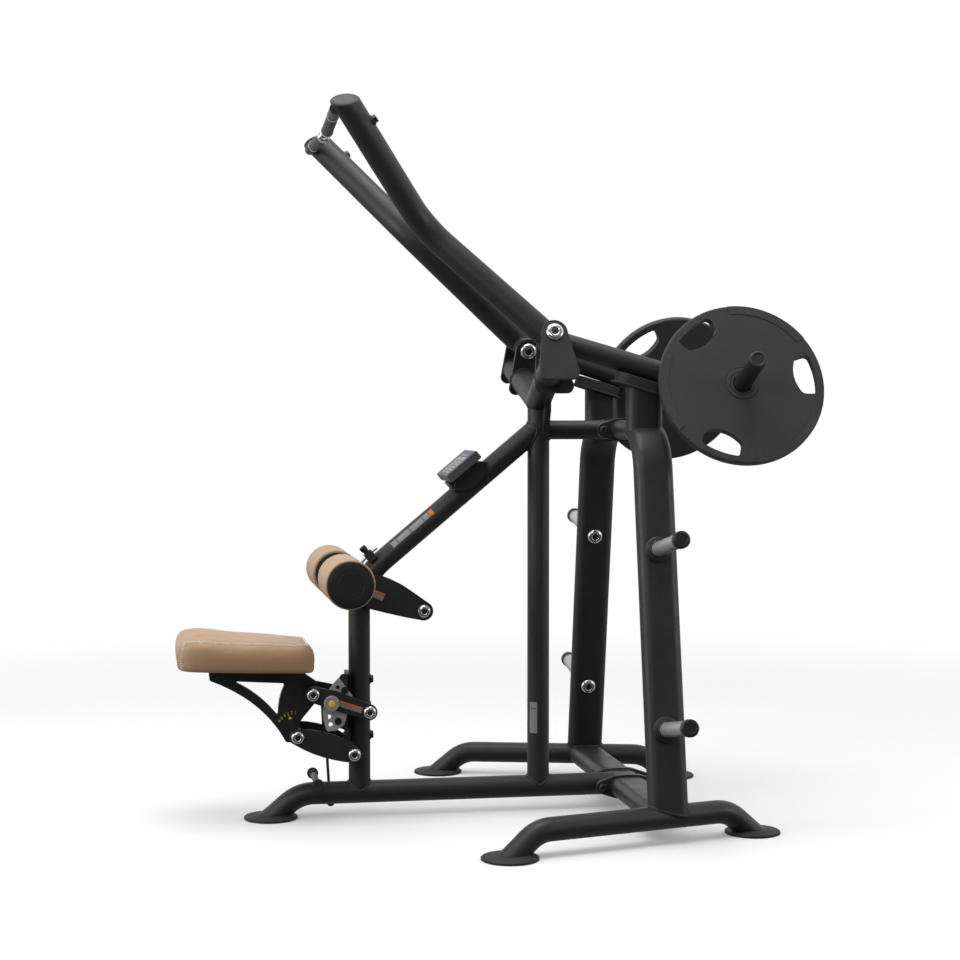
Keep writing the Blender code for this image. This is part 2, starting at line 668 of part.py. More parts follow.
# ------------------------------------------------------------ seat and its linkage
def seat_base(x):
    """Height of the cushion's flat underside, which rises a little towards the back."""
    return 0.4262 + (-0.7000 - x) * 0.056


def leaf(first, second, r_first, r_second, extra=()):
    return wrapped([(first[0], first[1], r_first), (second[0], second[1], r_second)] + list(extra), 14)


def build_seat():
    bx, bz = SEAT_B
    # channel in front of the upright with a wing for the selector sector
    back = block((-0.5620, -0.0400, 0.2150), (FRONT_X - FRONT_R - GAP, 0.0400, 0.4150))
    wing = side_plate(filleted([(-0.6030, 0.2680), (-0.5550, 0.2500), (-0.5550, 0.4150), (-0.5800, 0.4150),
                                (-0.6030, 0.3700)], [0.008, 0, 0, 0.012, 0.012]), -0.0567, -0.0487)
    web = block((-0.5620, -0.0567, 0.2600), (-0.5550, -0.0390, 0.4100))
    bolts = []
    for z in (0.392, 0.232):
        bolts.append(turned([(0.0120, -0.5680), (0.0120, -0.5610), (0.0055, -0.5609), (0.0055, -0.4907),
                             (0.0120, -0.4906), (0.0120, -0.4810)], (0, 0, z), (1, 0, 0), 8))
    cuts = [rod(x, z, 0.0046, -0.1, 0.0) for x, z in SECTOR_BOLTS]
    add("seat_mount_bracket", combined(back, [web, wing] + bolts, cuts), BLACK)
    for name, (x, z) in zip(("upper", "lower"), SECTOR_BOLTS):
        bolt = turned([(0.0042, -0.0480), (0.0042, -0.0633), (0.0100, -0.0634), (0.0100, -0.0680),
                       (0.0070, -0.0695)], (x, 0, z), (0, 1, 0), 10)
        add("sector_%s_bolt" % name, bolt, BLACK)

    # selector sector with six holes
    outer = arc(SEAT_B, 0.1300, 180.0 - 49.0, 180.0 + 24.0, 9)
    inner = [(-0.5950, 0.2560), (-0.5720, 0.2720), (-0.5490, 0.3550)]
    holes = [rod(x, z, 0.0046, -0.1, 0.0) for x, z in SECTOR_BOLTS]
    for k in range(6):
        angle = math.radians(38.7 - 11.16 * k)
        holes.append(rod(bx - 0.114 * math.cos(angle), bz + 0.114 * math.sin(angle), 0.0058, -0.1, 0.0, 10))
    sector = side_plate(outer + inner, -0.0630, -0.0570)
    add("sector_plate", combined(sector, [], holes), ZINC)

    # links: two leaves on one shaft, turning in the front upright
    for name, pin, far in (("upper_link", SEAT_B, SEAT_A), ("lower_link", SEAT_D, SEAT_C)):
        parts, cuts = [], []
        for side in (-1, 1):
            low, high = sorted((side * LINK_IN, side * LINK_OUT))
            extra = []
            if name == "upper_link":
                extra = [(-0.6020, 0.3440, 0.0270)]
            else:
                extra = [(-0.6200, 0.2160, 0.0350)]
            parts.append(side_plate(leaf(pin, far, 0.0225, 0.0225, extra), low, high))
            low, high = sorted((side * (FRONT_R + 0.004), side * (LINK_IN + 0.001)))
            parts.append(rod(*pin, 0.0150, low, high, 10))
            low, high = sorted((side * 0.0310, side * (LINK_IN + 0.001)))
            parts.append(rod(*far, 0.0160, low, high, 10))
            cuts.append(bore(*far, y_low=min(side * 0.02, side * 0.1), y_high=max(side * 0.02, side * 0.1)))
        if name == "upper_link":
            cuts.append(rod(-0.6110, 0.3378, 0.0052, -0.1, -0.05, 14))
            parts.append(rod(GAS_TOP[0], GAS_TOP[1], 0.0065, 0.0525, LINK_IN + 0.001, 10))
        else:
            parts.append(side_plate(wrapped([(far[0], far[1], 0.0140), (far[0] - 0.0200, far[1] + 0.0530, 0.0060)],
                                            14), -0.0355, -0.0310))
        shaft = turned(stud(SHAFT_R, 0.0160, LINK_OUT - 0.0002, 0.0085), (pin[0], 0, pin[1]), (0, 1, 0), 10)
        add(name, combined(shaft, parts, cuts), BLACK, (pin[0], 0, pin[1]))
    for name, pin in (("upper", SEAT_A), ("lower", SEAT_C)):
        bolt = turned(stud(SHAFT_R, 0.0160, LINK_OUT + GAP, 0.0085), (pin[0], 0, pin[1]), (0, 1, 0), 10)
        add("%s_seat_axle" % name, bolt, CHROME, (pin[0], 0, pin[1]))

    # central bracket under the seat
    outline = filleted([(-0.9510, 0.4345), (-0.9470, 0.3980), (-0.8730, 0.3640), (-0.8110, 0.3160),
                        (-0.7560, 0.2620), (-0.7330, 0.2160), (-0.6900, 0.2120), (-0.6800, 0.2550),
                        (-0.6330, 0.3500), (-0.6400, 0.3850), (-0.6900, 0.4200)],
                       [0, 0.010, 0.040, 0.040, 0.030, 0.020, 0.022, 0.030, 0.026, 0.026, 0])
    hole = filleted([(-0.8690, 0.3920), (-0.7590, 0.2980), (-0.7360, 0.3850)], [0.006, 0.010, 0.010])
    plate = side_plate(outline, -0.0120, 0.0120)
    top = side_plate([(-0.9500, seat_base(-0.9500) - 0.0075), (-0.7000, seat_base(-0.7000) - 0.0075),
                      (-0.7000, seat_base(-0.7000) - GAP), (-0.9500, seat_base(-0.9500) - GAP)], -0.0600, 0.0600)
    bosses, cuts = [], [side_plate(hole, -0.05, 0.05)]
    for pin in (SEAT_A, SEAT_C):
        bosses.append(rod(*pin, 0.0180, -0.0304, 0.0304))
        cuts.append(bore(*pin))
    add("seat_bracket", combined(plate, [top] + bosses, cuts), BLACK, (SEAT_A[0], 0, SEAT_A[1]))

    # cushion: wide at the back, tapering towards the upright, with sloping shoulders
    stations = [(-1.0430, 0.1450, 0.0140, 0.5080, 0.5120), (-1.0300, 0.1640, 0.0040, 0.5200, 0.5280),
                (-0.9900, 0.1750, 0.0, 0.5240, 0.5330), (-0.8500, 0.1580, 0.0, 0.5080, 0.5190),
                (-0.7000, 0.1280, 0.0, 0.4940, 0.5060), (-0.6680, 0.1150, 0.0020, 0.4880, 0.4970),
                (-0.6560, 0.1000, 0.0150, 0.4760, 0.4820)]
    bm = bmesh.new()
    rings = []
    for x, wide, lift, shoulder, high in stations:
        low = seat_base(x) + lift
        half = [(wide - 0.008, low), (wide, low + 0.008), (wide, shoulder), (wide - 0.018, high)]
        loop = half + [(0.0, high + 0.003)] + [(-y, z) for y, z in half[::-1]]
        rings.append([bm.verts.new((x, y, z)) for y, z in loop])
    add("seat_cushion", bridge(bm, rings), VINYL, (SEAT_A[0], 0, SEAT_A[1]), 60.0)

    # pull knob of the height selector on the near leaf
    knob = [(0.0046, -0.0640), (0.0046, -0.0794), (0.0110, -0.0794), (0.0110, -0.0860), (0.0170, -0.0870),
            (0.0212, -0.0900), (0.0222, -0.0960), (0.0205, -0.1000), (0.0120, -0.1010)]
    add("selector_knob", turned([(r, h) for r, h in knob], (-0.6110, 0, 0.3378), (0, 1, 0), 14), ZINC,
        (-0.6110, -0.0794, 0.3378))

    # gas spring: rod on a lug under the spine, cylinder up to the lower link
    foot_pin = Vector((GAS_FOOT[0], 0.0465, GAS_FOOT[1]))
    top_pin = Vector((GAS_TOP[0], 0.0465, GAS_TOP[1]))
    along = (top_pin - foot_pin).normalized()
    length = (top_pin - foot_pin).length
    eye = rod(foot_pin.x, foot_pin.z, 0.0090, 0.0410, 0.0520, 12)
    shank = turned([(0.0040, 0.006), (0.0040, 0.220)], foot_pin, along, 12)
    pin = rod(foot_pin.x, foot_pin.z, 0.0037, 0.0150, 0.0540, 12)
    add("gas_spring_rod", combined(shank, [eye, pin]), CHROME, foot_pin)
    barrel = turned([(0.0095, 0.157), (0.0095, length - 0.016), (0.0060, length - 0.012), (0.0060, length - 0.004)],
                    foot_pin, along, 14)
    barrel_bore = turned([(0.0044, 0.10), (0.0044, 0.292)], foot_pin, along, 12)
    ball = rod(top_pin.x, top_pin.z, 0.0100, 0.0410, 0.0520, 12)
    add("gas_spring_cylinder", combined(barrel, [ball], [barrel_bore]), BLACK, foot_pin)

    # band peg across the spine
    peg = [(0.0120, -0.0950), (0.0160, -0.0940), (0.0160, -0.0850), (0.0075, -0.0845), (0.0075, 0.0845),
           (0.0160, 0.0850), (0.0160, 0.0940), (0.0120, 0.0950)]
    add("band_peg", turned(peg, (-0.6490, 0, 0.1085), (0, 1, 0), 12), BLACK)


# ------------------------------------------------------------ thigh roller lever
def polar(angle, radius):
    """Point in the XZ plane about the lever pin, angle in degrees from +X."""
    turn = math.radians(angle)
    return LEVER_PIN[0] + radius * math.cos(turn), LEVER_PIN[1] + radius * math.sin(turn)


def build_lever():
    px, pz = LEVER_PIN
    rx, rz = ROLLER_PIN
    outline = wrapped([(px, pz, 0.027), (-0.415, 0.620, 0.045), (-0.478, 0.642, 0.049), (rx, rz, 0.026)], 20)
    near = side_plate(outline, -LEAF_OUT, -LEAF_IN)
    far = side_plate(outline, LEAF_IN, LEAF_OUT)
    rod_x, rod_z = polar(155.0, ROD_ARC_R)
    web = side_plate(wrapped([(rx, rz, 0.020), (rod_x, rod_z, 0.0075)], 20), -LEAF_IN - 0.001, LEAF_IN + 0.001)
    cuts = [bore(px, pz, segments=14), bore(rx, rz, segments=20)]
    add("thigh_lever", combined(web, [near, far], cuts), BLACK, (px, 0, pz))
    bolt = turned(stud(SHAFT_R, 0.0165, LEAF_OUT + GAP, 0.0085), (px, 0, pz), (0, 1, 0), 14)
    add("thigh_lever_bolt", bolt, CHROME, (px, 0, pz))

    half = 0.3110
    axle = [(0.0600, -half - 0.0050), (0.0630, -half), (SHAFT_R, -half), (SHAFT_R, half), (0.0630, half),
            (0.0600, half + 0.0050)]
    add("roller_axle", turned(axle, (rx, 0, rz), (0, 1, 0), 20), RUBBER, (rx, 0, rz))
    for name, side in SIDES:
        profile = [(SHAFT_R + GAP, 0.0750), (0.0600, 0.0750), (ROLLER_R, 0.0820), (ROLLER_R, 0.3045),
                   (0.0640, 0.3105), (SHAFT_R + GAP, 0.3105)]
        pad = ring([(r, h * side) for r, h in profile], (rx, 0, rz), (0, 1, 0), 22)
        add("%s_thigh_roller" % name, pad, VINYL, (rx, side * 0.19, rz))

    # curved adjuster rod, its guide on the front tube and the pull pin
    path = []
    for k in range(9):
        x, z = polar(153.0 - 27.0 * k / 8, ROD_ARC_R)
        path.append((x, -0.0220, z))
    add("adjuster_rod", sweep(circle(0.005, 10), path, (0, 1, 0)), CHROME, (px, 0, pz))

    centre_angle = 133.7
    turn = math.radians(centre_angle)
    outward = Vector((math.cos(turn), 0, math.sin(turn)))
    tangent = Vector((math.sin(turn), 0, -math.cos(turn)))
    middle = Vector((px, -0.0220, pz))
    outline = [(-0.0332, 0.2080), (0.0230, 0.2080), (0.0230, 0.2160), (-0.0090, 0.2160), (-0.0090, 0.2335),
               (-0.0332, 0.2335)]
    body = slab(outline, (px, 0, pz), (0, 1, 0), outward, -0.0130, 0.0130)
    guide = turned([(0.0066, -0.05), (0.0066, 0.05)], middle + outward * (ROD_ARC_R + 0.0002), tangent, 10)
    tube = sweep(circle(FRONT_R + GAP), front_tube_path(), (0, 1, 0))
    pin_hole = turned([(0.0034, 0.2200), (0.0034, 0.2500)], middle, outward, 12)
    add("thigh_pin_housing", combined(body, [], [tube, guide, pin_hole]), BLACK)
    pin = turned([(0.0029, 0.2310), (0.0029, 0.2338), (0.0085, 0.2338), (0.0085, 0.2400), (0.0108, 0.2410),
                  (0.0116, 0.2530), (0.0104, 0.2560)], middle, outward, 14)
    add("thigh_pin", pin, BLACK, middle + outward * 0.2338)


# ------------------------------------------------------------ instruction display
def build_display():
    along = Vector((math.cos(DIAG_ANGLE), 0, math.sin(DIAG_ANGLE)))
    raised = Vector((-math.sin(DIAG_ANGLE), 0, math.cos(DIAG_ANGLE)))
    axis_z = 0.7292 + 0.4565 * math.tan(DIAG_ANGLE)
    base = Vector((0, 0, axis_z))

    def along_tube(x):
        return x / math.cos(DIAG_ANGLE)

    middle = along_tube(-0.2030) + 0.0170
    lens = []
    half, width = 0.0640, 0.0300
    radius = (half * half + width * width) / (2 * width)
    spread = math.degrees(math.asin(half / radius))
    lens += arc((middle, 0.0250 + width - radius), radius, 90 + spread, 90 - spread, 8)[:-1]
    lens += arc((middle, 0.0250 - width + radius), radius, -90 + spread, -90 - spread, 8)[:-1]
    cheeks = []
    for low, high in ((0.0345, 0.0450), (-0.0450, -0.0345)):
        cheeks.append(slab(lens, base, along, raised, -high, -low))
    bridge_block = slab([(middle - 0.062, 0.0313), (middle + 0.030, 0.0313), (middle + 0.030, 0.0450),
                         (middle - 0.062, 0.0517)], base, along, raised, -0.0360, 0.0360)
    tube = sweep(circle(FRONT_R + GAP), front_tube_path(), (0, 1, 0))
    box_low = 0.0520
    start = along_tube(-0.2850) + (0.975 - axis_z - -0.2850 * math.tan(DIAG_ANGLE)) * math.sin(DIAG_ANGLE)
    box_cut = slab([(start - 0.01, box_low), (start + 0.1125, box_low), (start + 0.1125, 0.2), (start - 0.01, 0.2)],
                   base, along, raised, -0.2, 0.2)
    add("display_saddle", combined(bridge_block, cheeks, [tube, box_cut]), PLASTIC)
    box = slab(filleted([(start, box_low + GAP), (start + 0.112, box_low + GAP), (start + 0.112, 0.078),
                         (start, 0.078)], [0.004, 0.004, 0.004, 0.004], 3), base, along, raised, -0.095, 0.095)
    add("display_box", box, PLASTIC)


for existing in list(bpy.data.objects):
    bpy.data.objects.remove(existing)
build_base()
build_uprights()
build_saddle()
build_sides()
build_arms()
build_seat()
build_lever()
build_display()
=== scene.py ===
"""Looks of the plate loaded lat pulldown machine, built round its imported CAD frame."""
import math

import bmesh
import bpy
from mathutils import Matrix, Vector, noise
from mathutils.bvhtree import BVHTree
from mathutils.kdtree import KDTree


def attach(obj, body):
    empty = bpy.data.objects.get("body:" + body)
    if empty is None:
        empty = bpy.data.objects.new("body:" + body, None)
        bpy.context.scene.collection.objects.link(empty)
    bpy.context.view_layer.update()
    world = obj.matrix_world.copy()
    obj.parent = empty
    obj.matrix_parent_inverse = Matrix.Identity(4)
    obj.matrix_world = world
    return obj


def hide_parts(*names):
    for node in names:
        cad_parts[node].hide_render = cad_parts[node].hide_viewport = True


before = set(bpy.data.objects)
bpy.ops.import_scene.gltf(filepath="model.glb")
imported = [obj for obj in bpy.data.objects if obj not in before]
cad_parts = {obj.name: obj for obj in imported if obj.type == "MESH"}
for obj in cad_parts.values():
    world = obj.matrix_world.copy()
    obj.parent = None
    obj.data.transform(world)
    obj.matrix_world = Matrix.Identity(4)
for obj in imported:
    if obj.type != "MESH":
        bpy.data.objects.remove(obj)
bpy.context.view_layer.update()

# ------------------------------------------------------------ driving dimensions, as in the CAD
SHIFT_X = 0.15755
GAP = 0.0003                 # clearance between pieces that meet
TUBE_R = 0.03175
SPINE_R = 0.032
SPINE_Z = 0.068
UPPER_Z = 1.104
DIAG_ANGLE = math.radians(40.0)
FRONT_X = -0.5225
NOSE_X = -0.776              # front foot
FRONT_R = 0.031
FRONT_BEND_R = 0.19
DIAG_X = -0.4565              # a point on the diagonal part of the front tube
DIAG_Z = 0.7292
BAR_R = 0.0275
POST_X = 0.254
OVAL_LONG = 0.11
OVAL_SHORT = 0.056
POST_LEAN = 0.18
POST_Y0 = 0.485
POST_Z0 = 0.12
FOOT_TOP = 0.012
FOOT_R = 0.076
PIVOT = Vector((-0.004, 0.2006, 1.356))
PIVOT_AXIS = Vector((-0.0585, 0.938, 0.341)).normalized()
ARM_BEND = Vector((-0.355, 0.127, 1.671))
ARM_TIP = Vector((-0.601, 0.398, 1.97))
ARM_REAR = Vector((0.501, 0.287, 1.204))
SADDLE_Z = 1.187
SADDLE_R = 0.036
EAR_IN = 0.048
EAR_T = 0.01
GRIP_L = 0.244
PLATE_R = 0.2315
PLATE_T = 0.026
PLATE_FACE = 0.086
SLEEVE_R = 0.024
SLEEVE_END = 0.268
SEAT_A = (-0.6615, 0.3613)
SEAT_B = (-0.5019, 0.3073)
SEAT_C = (-0.7053, 0.242)
SEAT_D = (-0.5457, 0.188)
LINK_IN = 0.071
LINK_OUT = 0.079
SHAFT_R = 0.01
GAS_TOP = (-0.6215, 0.3478)
GAS_FOOT = (-0.6035, 0.035)
SECTOR_BOLTS = ((-0.571, 0.37), (-0.59, 0.283))
LEVER_PIN = (-0.3416, 0.5876)
ROLLER_PIN = (-0.58, 0.689)
ROLLER_R = 0.068
LEAF_IN = 0.034
LEAF_OUT = 0.042
ROD_ARC_R = 0.2255
ROD_Y = -0.022
KNOB_X = -0.611
KNOB_Z = 0.3378
EDGE_R = 0.0009              # rounding of sawn edges on the frame
HORN_HEIGHTS = (("upper", 0.776), ("lower", 0.297))
HORN_END = 0.268
SIDES = (("right", -1), ("left", 1))
FINE = 48                    # facets round a tube
ROOM_FRONT = 0.2             # light from the camera's side of the room, and from behind
ROOM_BACK = 0.95
FLOOR_GLOW = 0.12


def placed(name, data):
    """New object in the scene."""
    obj = bpy.data.objects.new(name, data)
    bpy.context.scene.collection.objects.link(obj)
    return obj


# ------------------------------------------------------------ camera
camera = placed("camera", bpy.data.cameras.new("camera"))
camera.location = (-1.1222 + SHIFT_X, -5.3754, 1.1413)
camera.rotation_euler = (math.radians(88.095), 0.0, math.radians(-10.027))
camera.data.lens = 71.02
camera.data.sensor_width = 36.0
bpy.context.scene.camera = camera


# ------------------------------------------------------------ outlines and paths
def circle(radius, segments=16):
    """Closed round section, anticlockwise."""
    turns = [2 * math.pi * i / segments for i in range(segments)]
    return [(radius * math.cos(turn), radius * math.sin(turn)) for turn in turns]


def oval(long_side, short_side, segments=5):
    """Flat-oval section: two half rounds joined by straight walls, long side first."""
    radius = short_side / 2
    offset = long_side / 2 - radius
    points = []
    for centre, start in ((offset, -90.0), (-offset, 90.0)):
        for i in range(segments + 1):
            angle = math.radians(start + 180.0 * i / segments)
            points.append((centre + radius * math.cos(angle), radius * math.sin(angle)))
    return points


def arc(centre, radius, start, end, steps):
    """Points on an arc, angles in degrees."""
    points = []
    for i in range(steps + 1):
        angle = math.radians(start + (end - start) * i / steps)
        points.append((centre[0] + radius * math.cos(angle), centre[1] + radius * math.sin(angle)))
    return points


def wrapped(circles, segments=20):
    """Outline of a band stretched round circles given as (x, z, radius)."""
    cloud = []
    for x, z, radius in circles:
        cloud += arc((x, z), radius, 0.0, 360.0 * (segments - 1) / segments, segments - 1)
    cloud = sorted(set((round(x, 7), round(z, 7)) for x, z in cloud))

    def half(points):
        chain = []
        for point in points:
            while len(chain) > 1:
                ax, az = chain[-1][0] - chain[-2][0], chain[-1][1] - chain[-2][1]
                bx, bz = point[0] - chain[-1][0], point[1] - chain[-1][1]
                if ax * bz - az * bx > 1e-10:
                    break
                chain.pop()
            chain.append(point)
        return chain[:-1]

    return half(cloud) + half(cloud[::-1])


def filleted(corners, radii, steps=3):
    """Polygon with each corner rounded to its own radius."""
    points = []
    count = len(corners)
    for i in range(count):
        corner = Vector(corners[i])
        before = Vector(corners[i - 1]) - corner
        after = Vector(corners[(i + 1) % count]) - corner
        radius = radii[i]
        if radius <= 0:
            points.append((corner.x, corner.y))
            continue
        half_angle = before.angle(after) / 2
        reach = radius / math.tan(half_angle)
        first = corner + before.normalized() * reach
        last = corner + after.normalized() * reach
        inward = (before.normalized() + after.normalized()).normalized()
        middle = corner + inward * radius / math.sin(half_angle)
        start = math.atan2(first.y - middle.y, first.x - middle.x)
        end = math.atan2(last.y - middle.y, last.x - middle.x)
        turn = (end - start + math.pi) % (2 * math.pi) - math.pi
        for k in range(steps + 1):
            angle = start + turn * k / steps
            points.append((middle.x + radius * math.cos(angle), middle.y + radius * math.sin(angle)))
    return points


def bent(corners, radii, step=10.0):
    """Centre line through corners, each inner corner rounded to its bend radius."""
    corners = [Vector(c) for c in corners]
    points = [corners[0]]
    for i in range(1, len(corners) - 1):
        into = (corners[i] - corners[i - 1]).normalized()
        out = (corners[i + 1] - corners[i]).normalized()
        angle = into.angle(out)
        radius = radii[i - 1]
        start = corners[i] - into * radius * math.tan(angle / 2)
        inward = (out - into * into.dot(out)).normalized()
        centre = start + inward * radius
        steps = max(2, math.ceil(math.degrees(angle) / step))
        for k in range(steps + 1):
            turn = angle * k / steps
            points.append(centre + (into * math.sin(turn) - inward * math.cos(turn)) * radius)
    points.append(corners[-1])
    return points


def evenly(points, count, step):
    """Points at equal steps along a closed line."""
    total = len(points)
    even, i, left = [], 0, 0.0
    for _ in range(count):
        while left > (points[(i + 1) % total] - points[i % total]).length:
            left -= (points[(i + 1) % total] - points[i % total]).length
            i += 1
        first, second = points[i % total], points[(i + 1) % total]
        even.append(first.lerp(second, left / max(1e-9, (second - first).length)))
        left += step
    return even


def between(side, near, far):
    """Two distances from the middle plane as Y values on one side, the lower first."""
    return sorted((side * near, side * far))


# ------------------------------------------------------------ solids
def bridge(bm, rings, closed_ends=True):
    """Skin consecutive rings of vertices, with flat caps on the two ends."""
    count = len(rings[0])
    for lower, upper in zip(rings, rings[1:]):
        if len(lower) == 1 and len(upper) == 1:
            continue
        for j in range(count if len(lower) > 1 else len(upper)):
            k = (j + 1) % max(len(lower), len(upper))
            if len(lower) == 1:
                bm.faces.new((lower[0], upper[k], upper[j]))
            elif len(upper) == 1:
                bm.faces.new((lower[j], lower[k], upper[0]))
            else:
                bm.faces.new((lower[j], lower[k], upper[k], upper[j]))
    if closed_ends:
        if len(rings[0]) > 1:
            bm.faces.new(rings[0][::-1])
        if len(rings[-1]) > 1:
            bm.faces.new(rings[-1])
    bmesh.ops.recalc_face_normals(bm, faces=bm.faces)
    return bm


def sweep(section, path, side, start_cut=None, end_cut=None, scales=None, dome=()):
    """Carry a section along a path; side is the section's first axis at the start.

    A cut is a plane (point, normal) onto which that end is trimmed obliquely, and a
    dome adds rings beyond the last end as (scale, height) pairs.
    """
    bm = bmesh.new()
    path = [Vector(p) for p in path]
    across = Vector(side)
    rings = []
    last = len(path) - 1
    for i, point in enumerate(path):
        if i == 0:
            along = path[1] - path[0]
        elif i == last:
            along = path[-1] - path[-2]
        else:
            along = (path[i + 1] - point).normalized() + (point - path[i - 1]).normalized()
        along.normalize()
        across = (across - along * across.dot(along)).normalized()
        up = along.cross(across)
        wide, high = scales[i] if scales else (1.0, 1.0)
        corners = [point + across * a * wide + up * b * high for a, b in section]
        cut = start_cut if i == 0 else end_cut if i == last else None
        if cut:
            at, normal = Vector(cut[0]), Vector(cut[1])
            corners = [c + along * ((at - c).dot(normal) / along.dot(normal)) for c in corners]
        rings.append([bm.verts.new(c) for c in corners])
    for scale, height in dome:
        middle, normal = Vector(end_cut[0]), Vector(end_cut[1])
        rings.append([bm.verts.new(middle + (c - middle) * scale + normal * height) for c in corners])
    return bridge(bm, rings)


def round_rings(bm, profile, base, axis, segments):
    """A ring of vertices for each (radius, height) pair, or one vertex on the axis."""
    base, axis = Vector(base), Vector(axis).normalized()
    across = axis.orthogonal().normalized()
    up = axis.cross(across)
    rings = []
    for radius, height in profile:
        centre = base + axis * height
        if radius < 1e-6:
            rings.append([bm.verts.new(centre)])
        else:
            rings.append([bm.verts.new(centre + across * a + up * b) for a, b in circle(radius, segments)])
    return rings


def turned(profile, base, axis, segments=16):
    """Solid of revolution: profile of (radius, height) pairs from end to end."""
    bm = bmesh.new()
    return bridge(bm, round_rings(bm, profile, base, axis, segments))


def ring(profile, base, axis, segments=16):
    """Bored solid of revolution: a closed loop of (radius, height) pairs."""
    bm = bmesh.new()
    rings = round_rings(bm, profile, base, axis, segments)
    return bridge(bm, rings + [rings[0]], closed_ends=False)


def spun(profile, at, segments=16):
    """Solid of revolution about the line along Y through a point (x, z)."""
    return turned(profile, (at[0], 0, at[1]), (0, 1, 0), segments)


def slab(outline, origin, first, second, low, high):
    """Flat plate: outline in the plane of two axes, between two offsets along its normal."""
    bm = bmesh.new()
    origin, first, second = Vector(origin), Vector(first).normalized(), Vector(second).normalized()
    normal = first.cross(second)
    rings = []
    for offset in (low, high):
        rings.append([bm.verts.new(origin + first * a + second * b + normal * offset) for a, b in outline])
    return bridge(bm, rings)


def side_plate(outline, y_low, y_high):
    """Plate standing in an XZ plane between two Y values."""
    return slab(outline, (0, 0, 0), (1, 0, 0), (0, 0, 1), -y_high, -y_low)


def rect(x0, z0, x1, z1):
    return [(x0, z0), (x1, z0), (x1, z1), (x0, z1)]


def block(low, high):
    """Box between two corners."""
    return slab(rect(low[0], low[1], high[0], high[1]), (0, 0, 0), (1, 0, 0), (0, 1, 0), low[2], high[2])


def rod(x, z, radius, y_low, y_high, segments=10):
    """Round bar along Y."""
    return spun([(radius, y_low), (radius, y_high)], (x, z), segments)


# ------------------------------------------------------------ materials
def link(source, target):
    """Join two sockets of one node tree."""
    target.id_data.links.new(source, target)


def fill(node, values):
    """Set a node's inputs by name."""
    for key, value in values.items():
        node.inputs[key].default_value = value


def graph(name, colour, roughness, metallic=0.0):
    """New Principled material; returns it with its tree, shader and object coordinates."""
    mat = bpy.data.materials.new(name)
    mat.use_nodes = True
    tree = mat.node_tree
    shader = tree.nodes["Principled BSDF"]
    fill(shader, {"Base Color": (*colour, 1.0), "Roughness": roughness, "Metallic": metallic})
    place = tree.nodes.new("ShaderNodeTexCoord").outputs["Object"]
    return mat, tree, shader, place


def noise_at(tree, place, scale, detail=3.0, rough=0.5, stretch=None):
    """Noise factor at a scale per metre, on stretched coordinates if asked."""
    if stretch:
        mapping = tree.nodes.new("ShaderNodeMapping")
        fill(mapping, {"Scale": stretch})
        link(place, mapping.inputs["Vector"])
        place = mapping.outputs["Vector"]
    node = tree.nodes.new("ShaderNodeTexNoise")
    fill(node, {"Scale": scale, "Detail": detail, "Roughness": rough})
    link(place, node.inputs["Vector"])
    return node.outputs["Fac"]


def span(tree, factor, low, high, start=0.3, end=0.7, smooth=False):
    """Factor between start and end carried to a range of values."""
    node = tree.nodes.new("ShaderNodeMapRange")
    if smooth:
        node.interpolation_type = "SMOOTHSTEP"
    link(factor, node.inputs["Value"])
    fill(node, {"From Min": start, "From Max": end, "To Min": low, "To Max": high})
    return node.outputs["Result"]


def product(tree, first, second):
    """Two factors multiplied."""
    node = tree.nodes.new("ShaderNodeMath")
    node.operation = "MULTIPLY"
    link(first, node.inputs[0])
    link(second, node.inputs[1])
    return node.outputs[0]


def mixed(tree, factor, first, second):
    """Shader between two shaders."""
    node = tree.nodes.new("ShaderNodeMixShader")
    for socket, source in zip(node.inputs, (factor, first, second)):
        link(source, socket)
    return node.outputs[0]


def blended(tree, factor, first, second):
    """Colour between two colours or sockets."""
    node = tree.nodes.new("ShaderNodeMix")
    node.data_type = "RGBA"
    link(factor, node.inputs[0])
    for socket, value in ((node.inputs[6], first), (node.inputs[7], second)):
        if isinstance(value, tuple):
            socket.default_value = (*value, 1.0)
        else:
            link(value, socket)
    return node.outputs[2]


def bumped(tree, shader, height, strength, distance, under=None):
    """Bump from a height socket, over an earlier bump."""
    node = tree.nodes.new("ShaderNodeBump")
    fill(node, {"Strength": strength, "Distance": distance})
    link(height, node.inputs["Height"])
    if under:
        link(under, node.inputs["Normal"])
    link(node.outputs["Normal"], shader.inputs["Normal"])
    return node.outputs["Normal"]


def coated(name, dark, light, rough, grain, depth, worn=None):
    """Sprayed or cast finish: cloudy tone, fine orange peel, and edges rubbed lighter if worn."""
    mat, tree, shader, place = graph(name, dark, rough[0])
    cloud = noise_at(tree, place, 7.0, 5.0, 0.6)
    fine = noise_at(tree, place, grain, 2.0, 0.55)
    tone = blended(tree, span(tree, cloud, 0.0, 1.0), dark, light)
    if worn:
        edge = tree.nodes.new("ShaderNodeNewGeometry").outputs["Pointiness"]
        scratch = noise_at(tree, place, 60.0, 4.0, 0.7)
        edges = span(tree, edge, 0.0, 1.0, 0.56, 0.7)
        rubbed = product(tree, edges, span(tree, scratch, 0.1, 1.0, 0.42, 0.62))
        tone = blended(tree, rubbed, tone, worn)
    link(tone, shader.inputs["Base Color"])
    link(span(tree, noise_at(tree, place, 23.0, 4.0), *rough), shader.inputs["Roughness"])
    first = bumped(tree, shader, fine, 0.35, depth)
    bumped(tree, shader, noise_at(tree, place, grain * 0.22, 2.0), 0.25, depth * 2.0, first)
    return mat


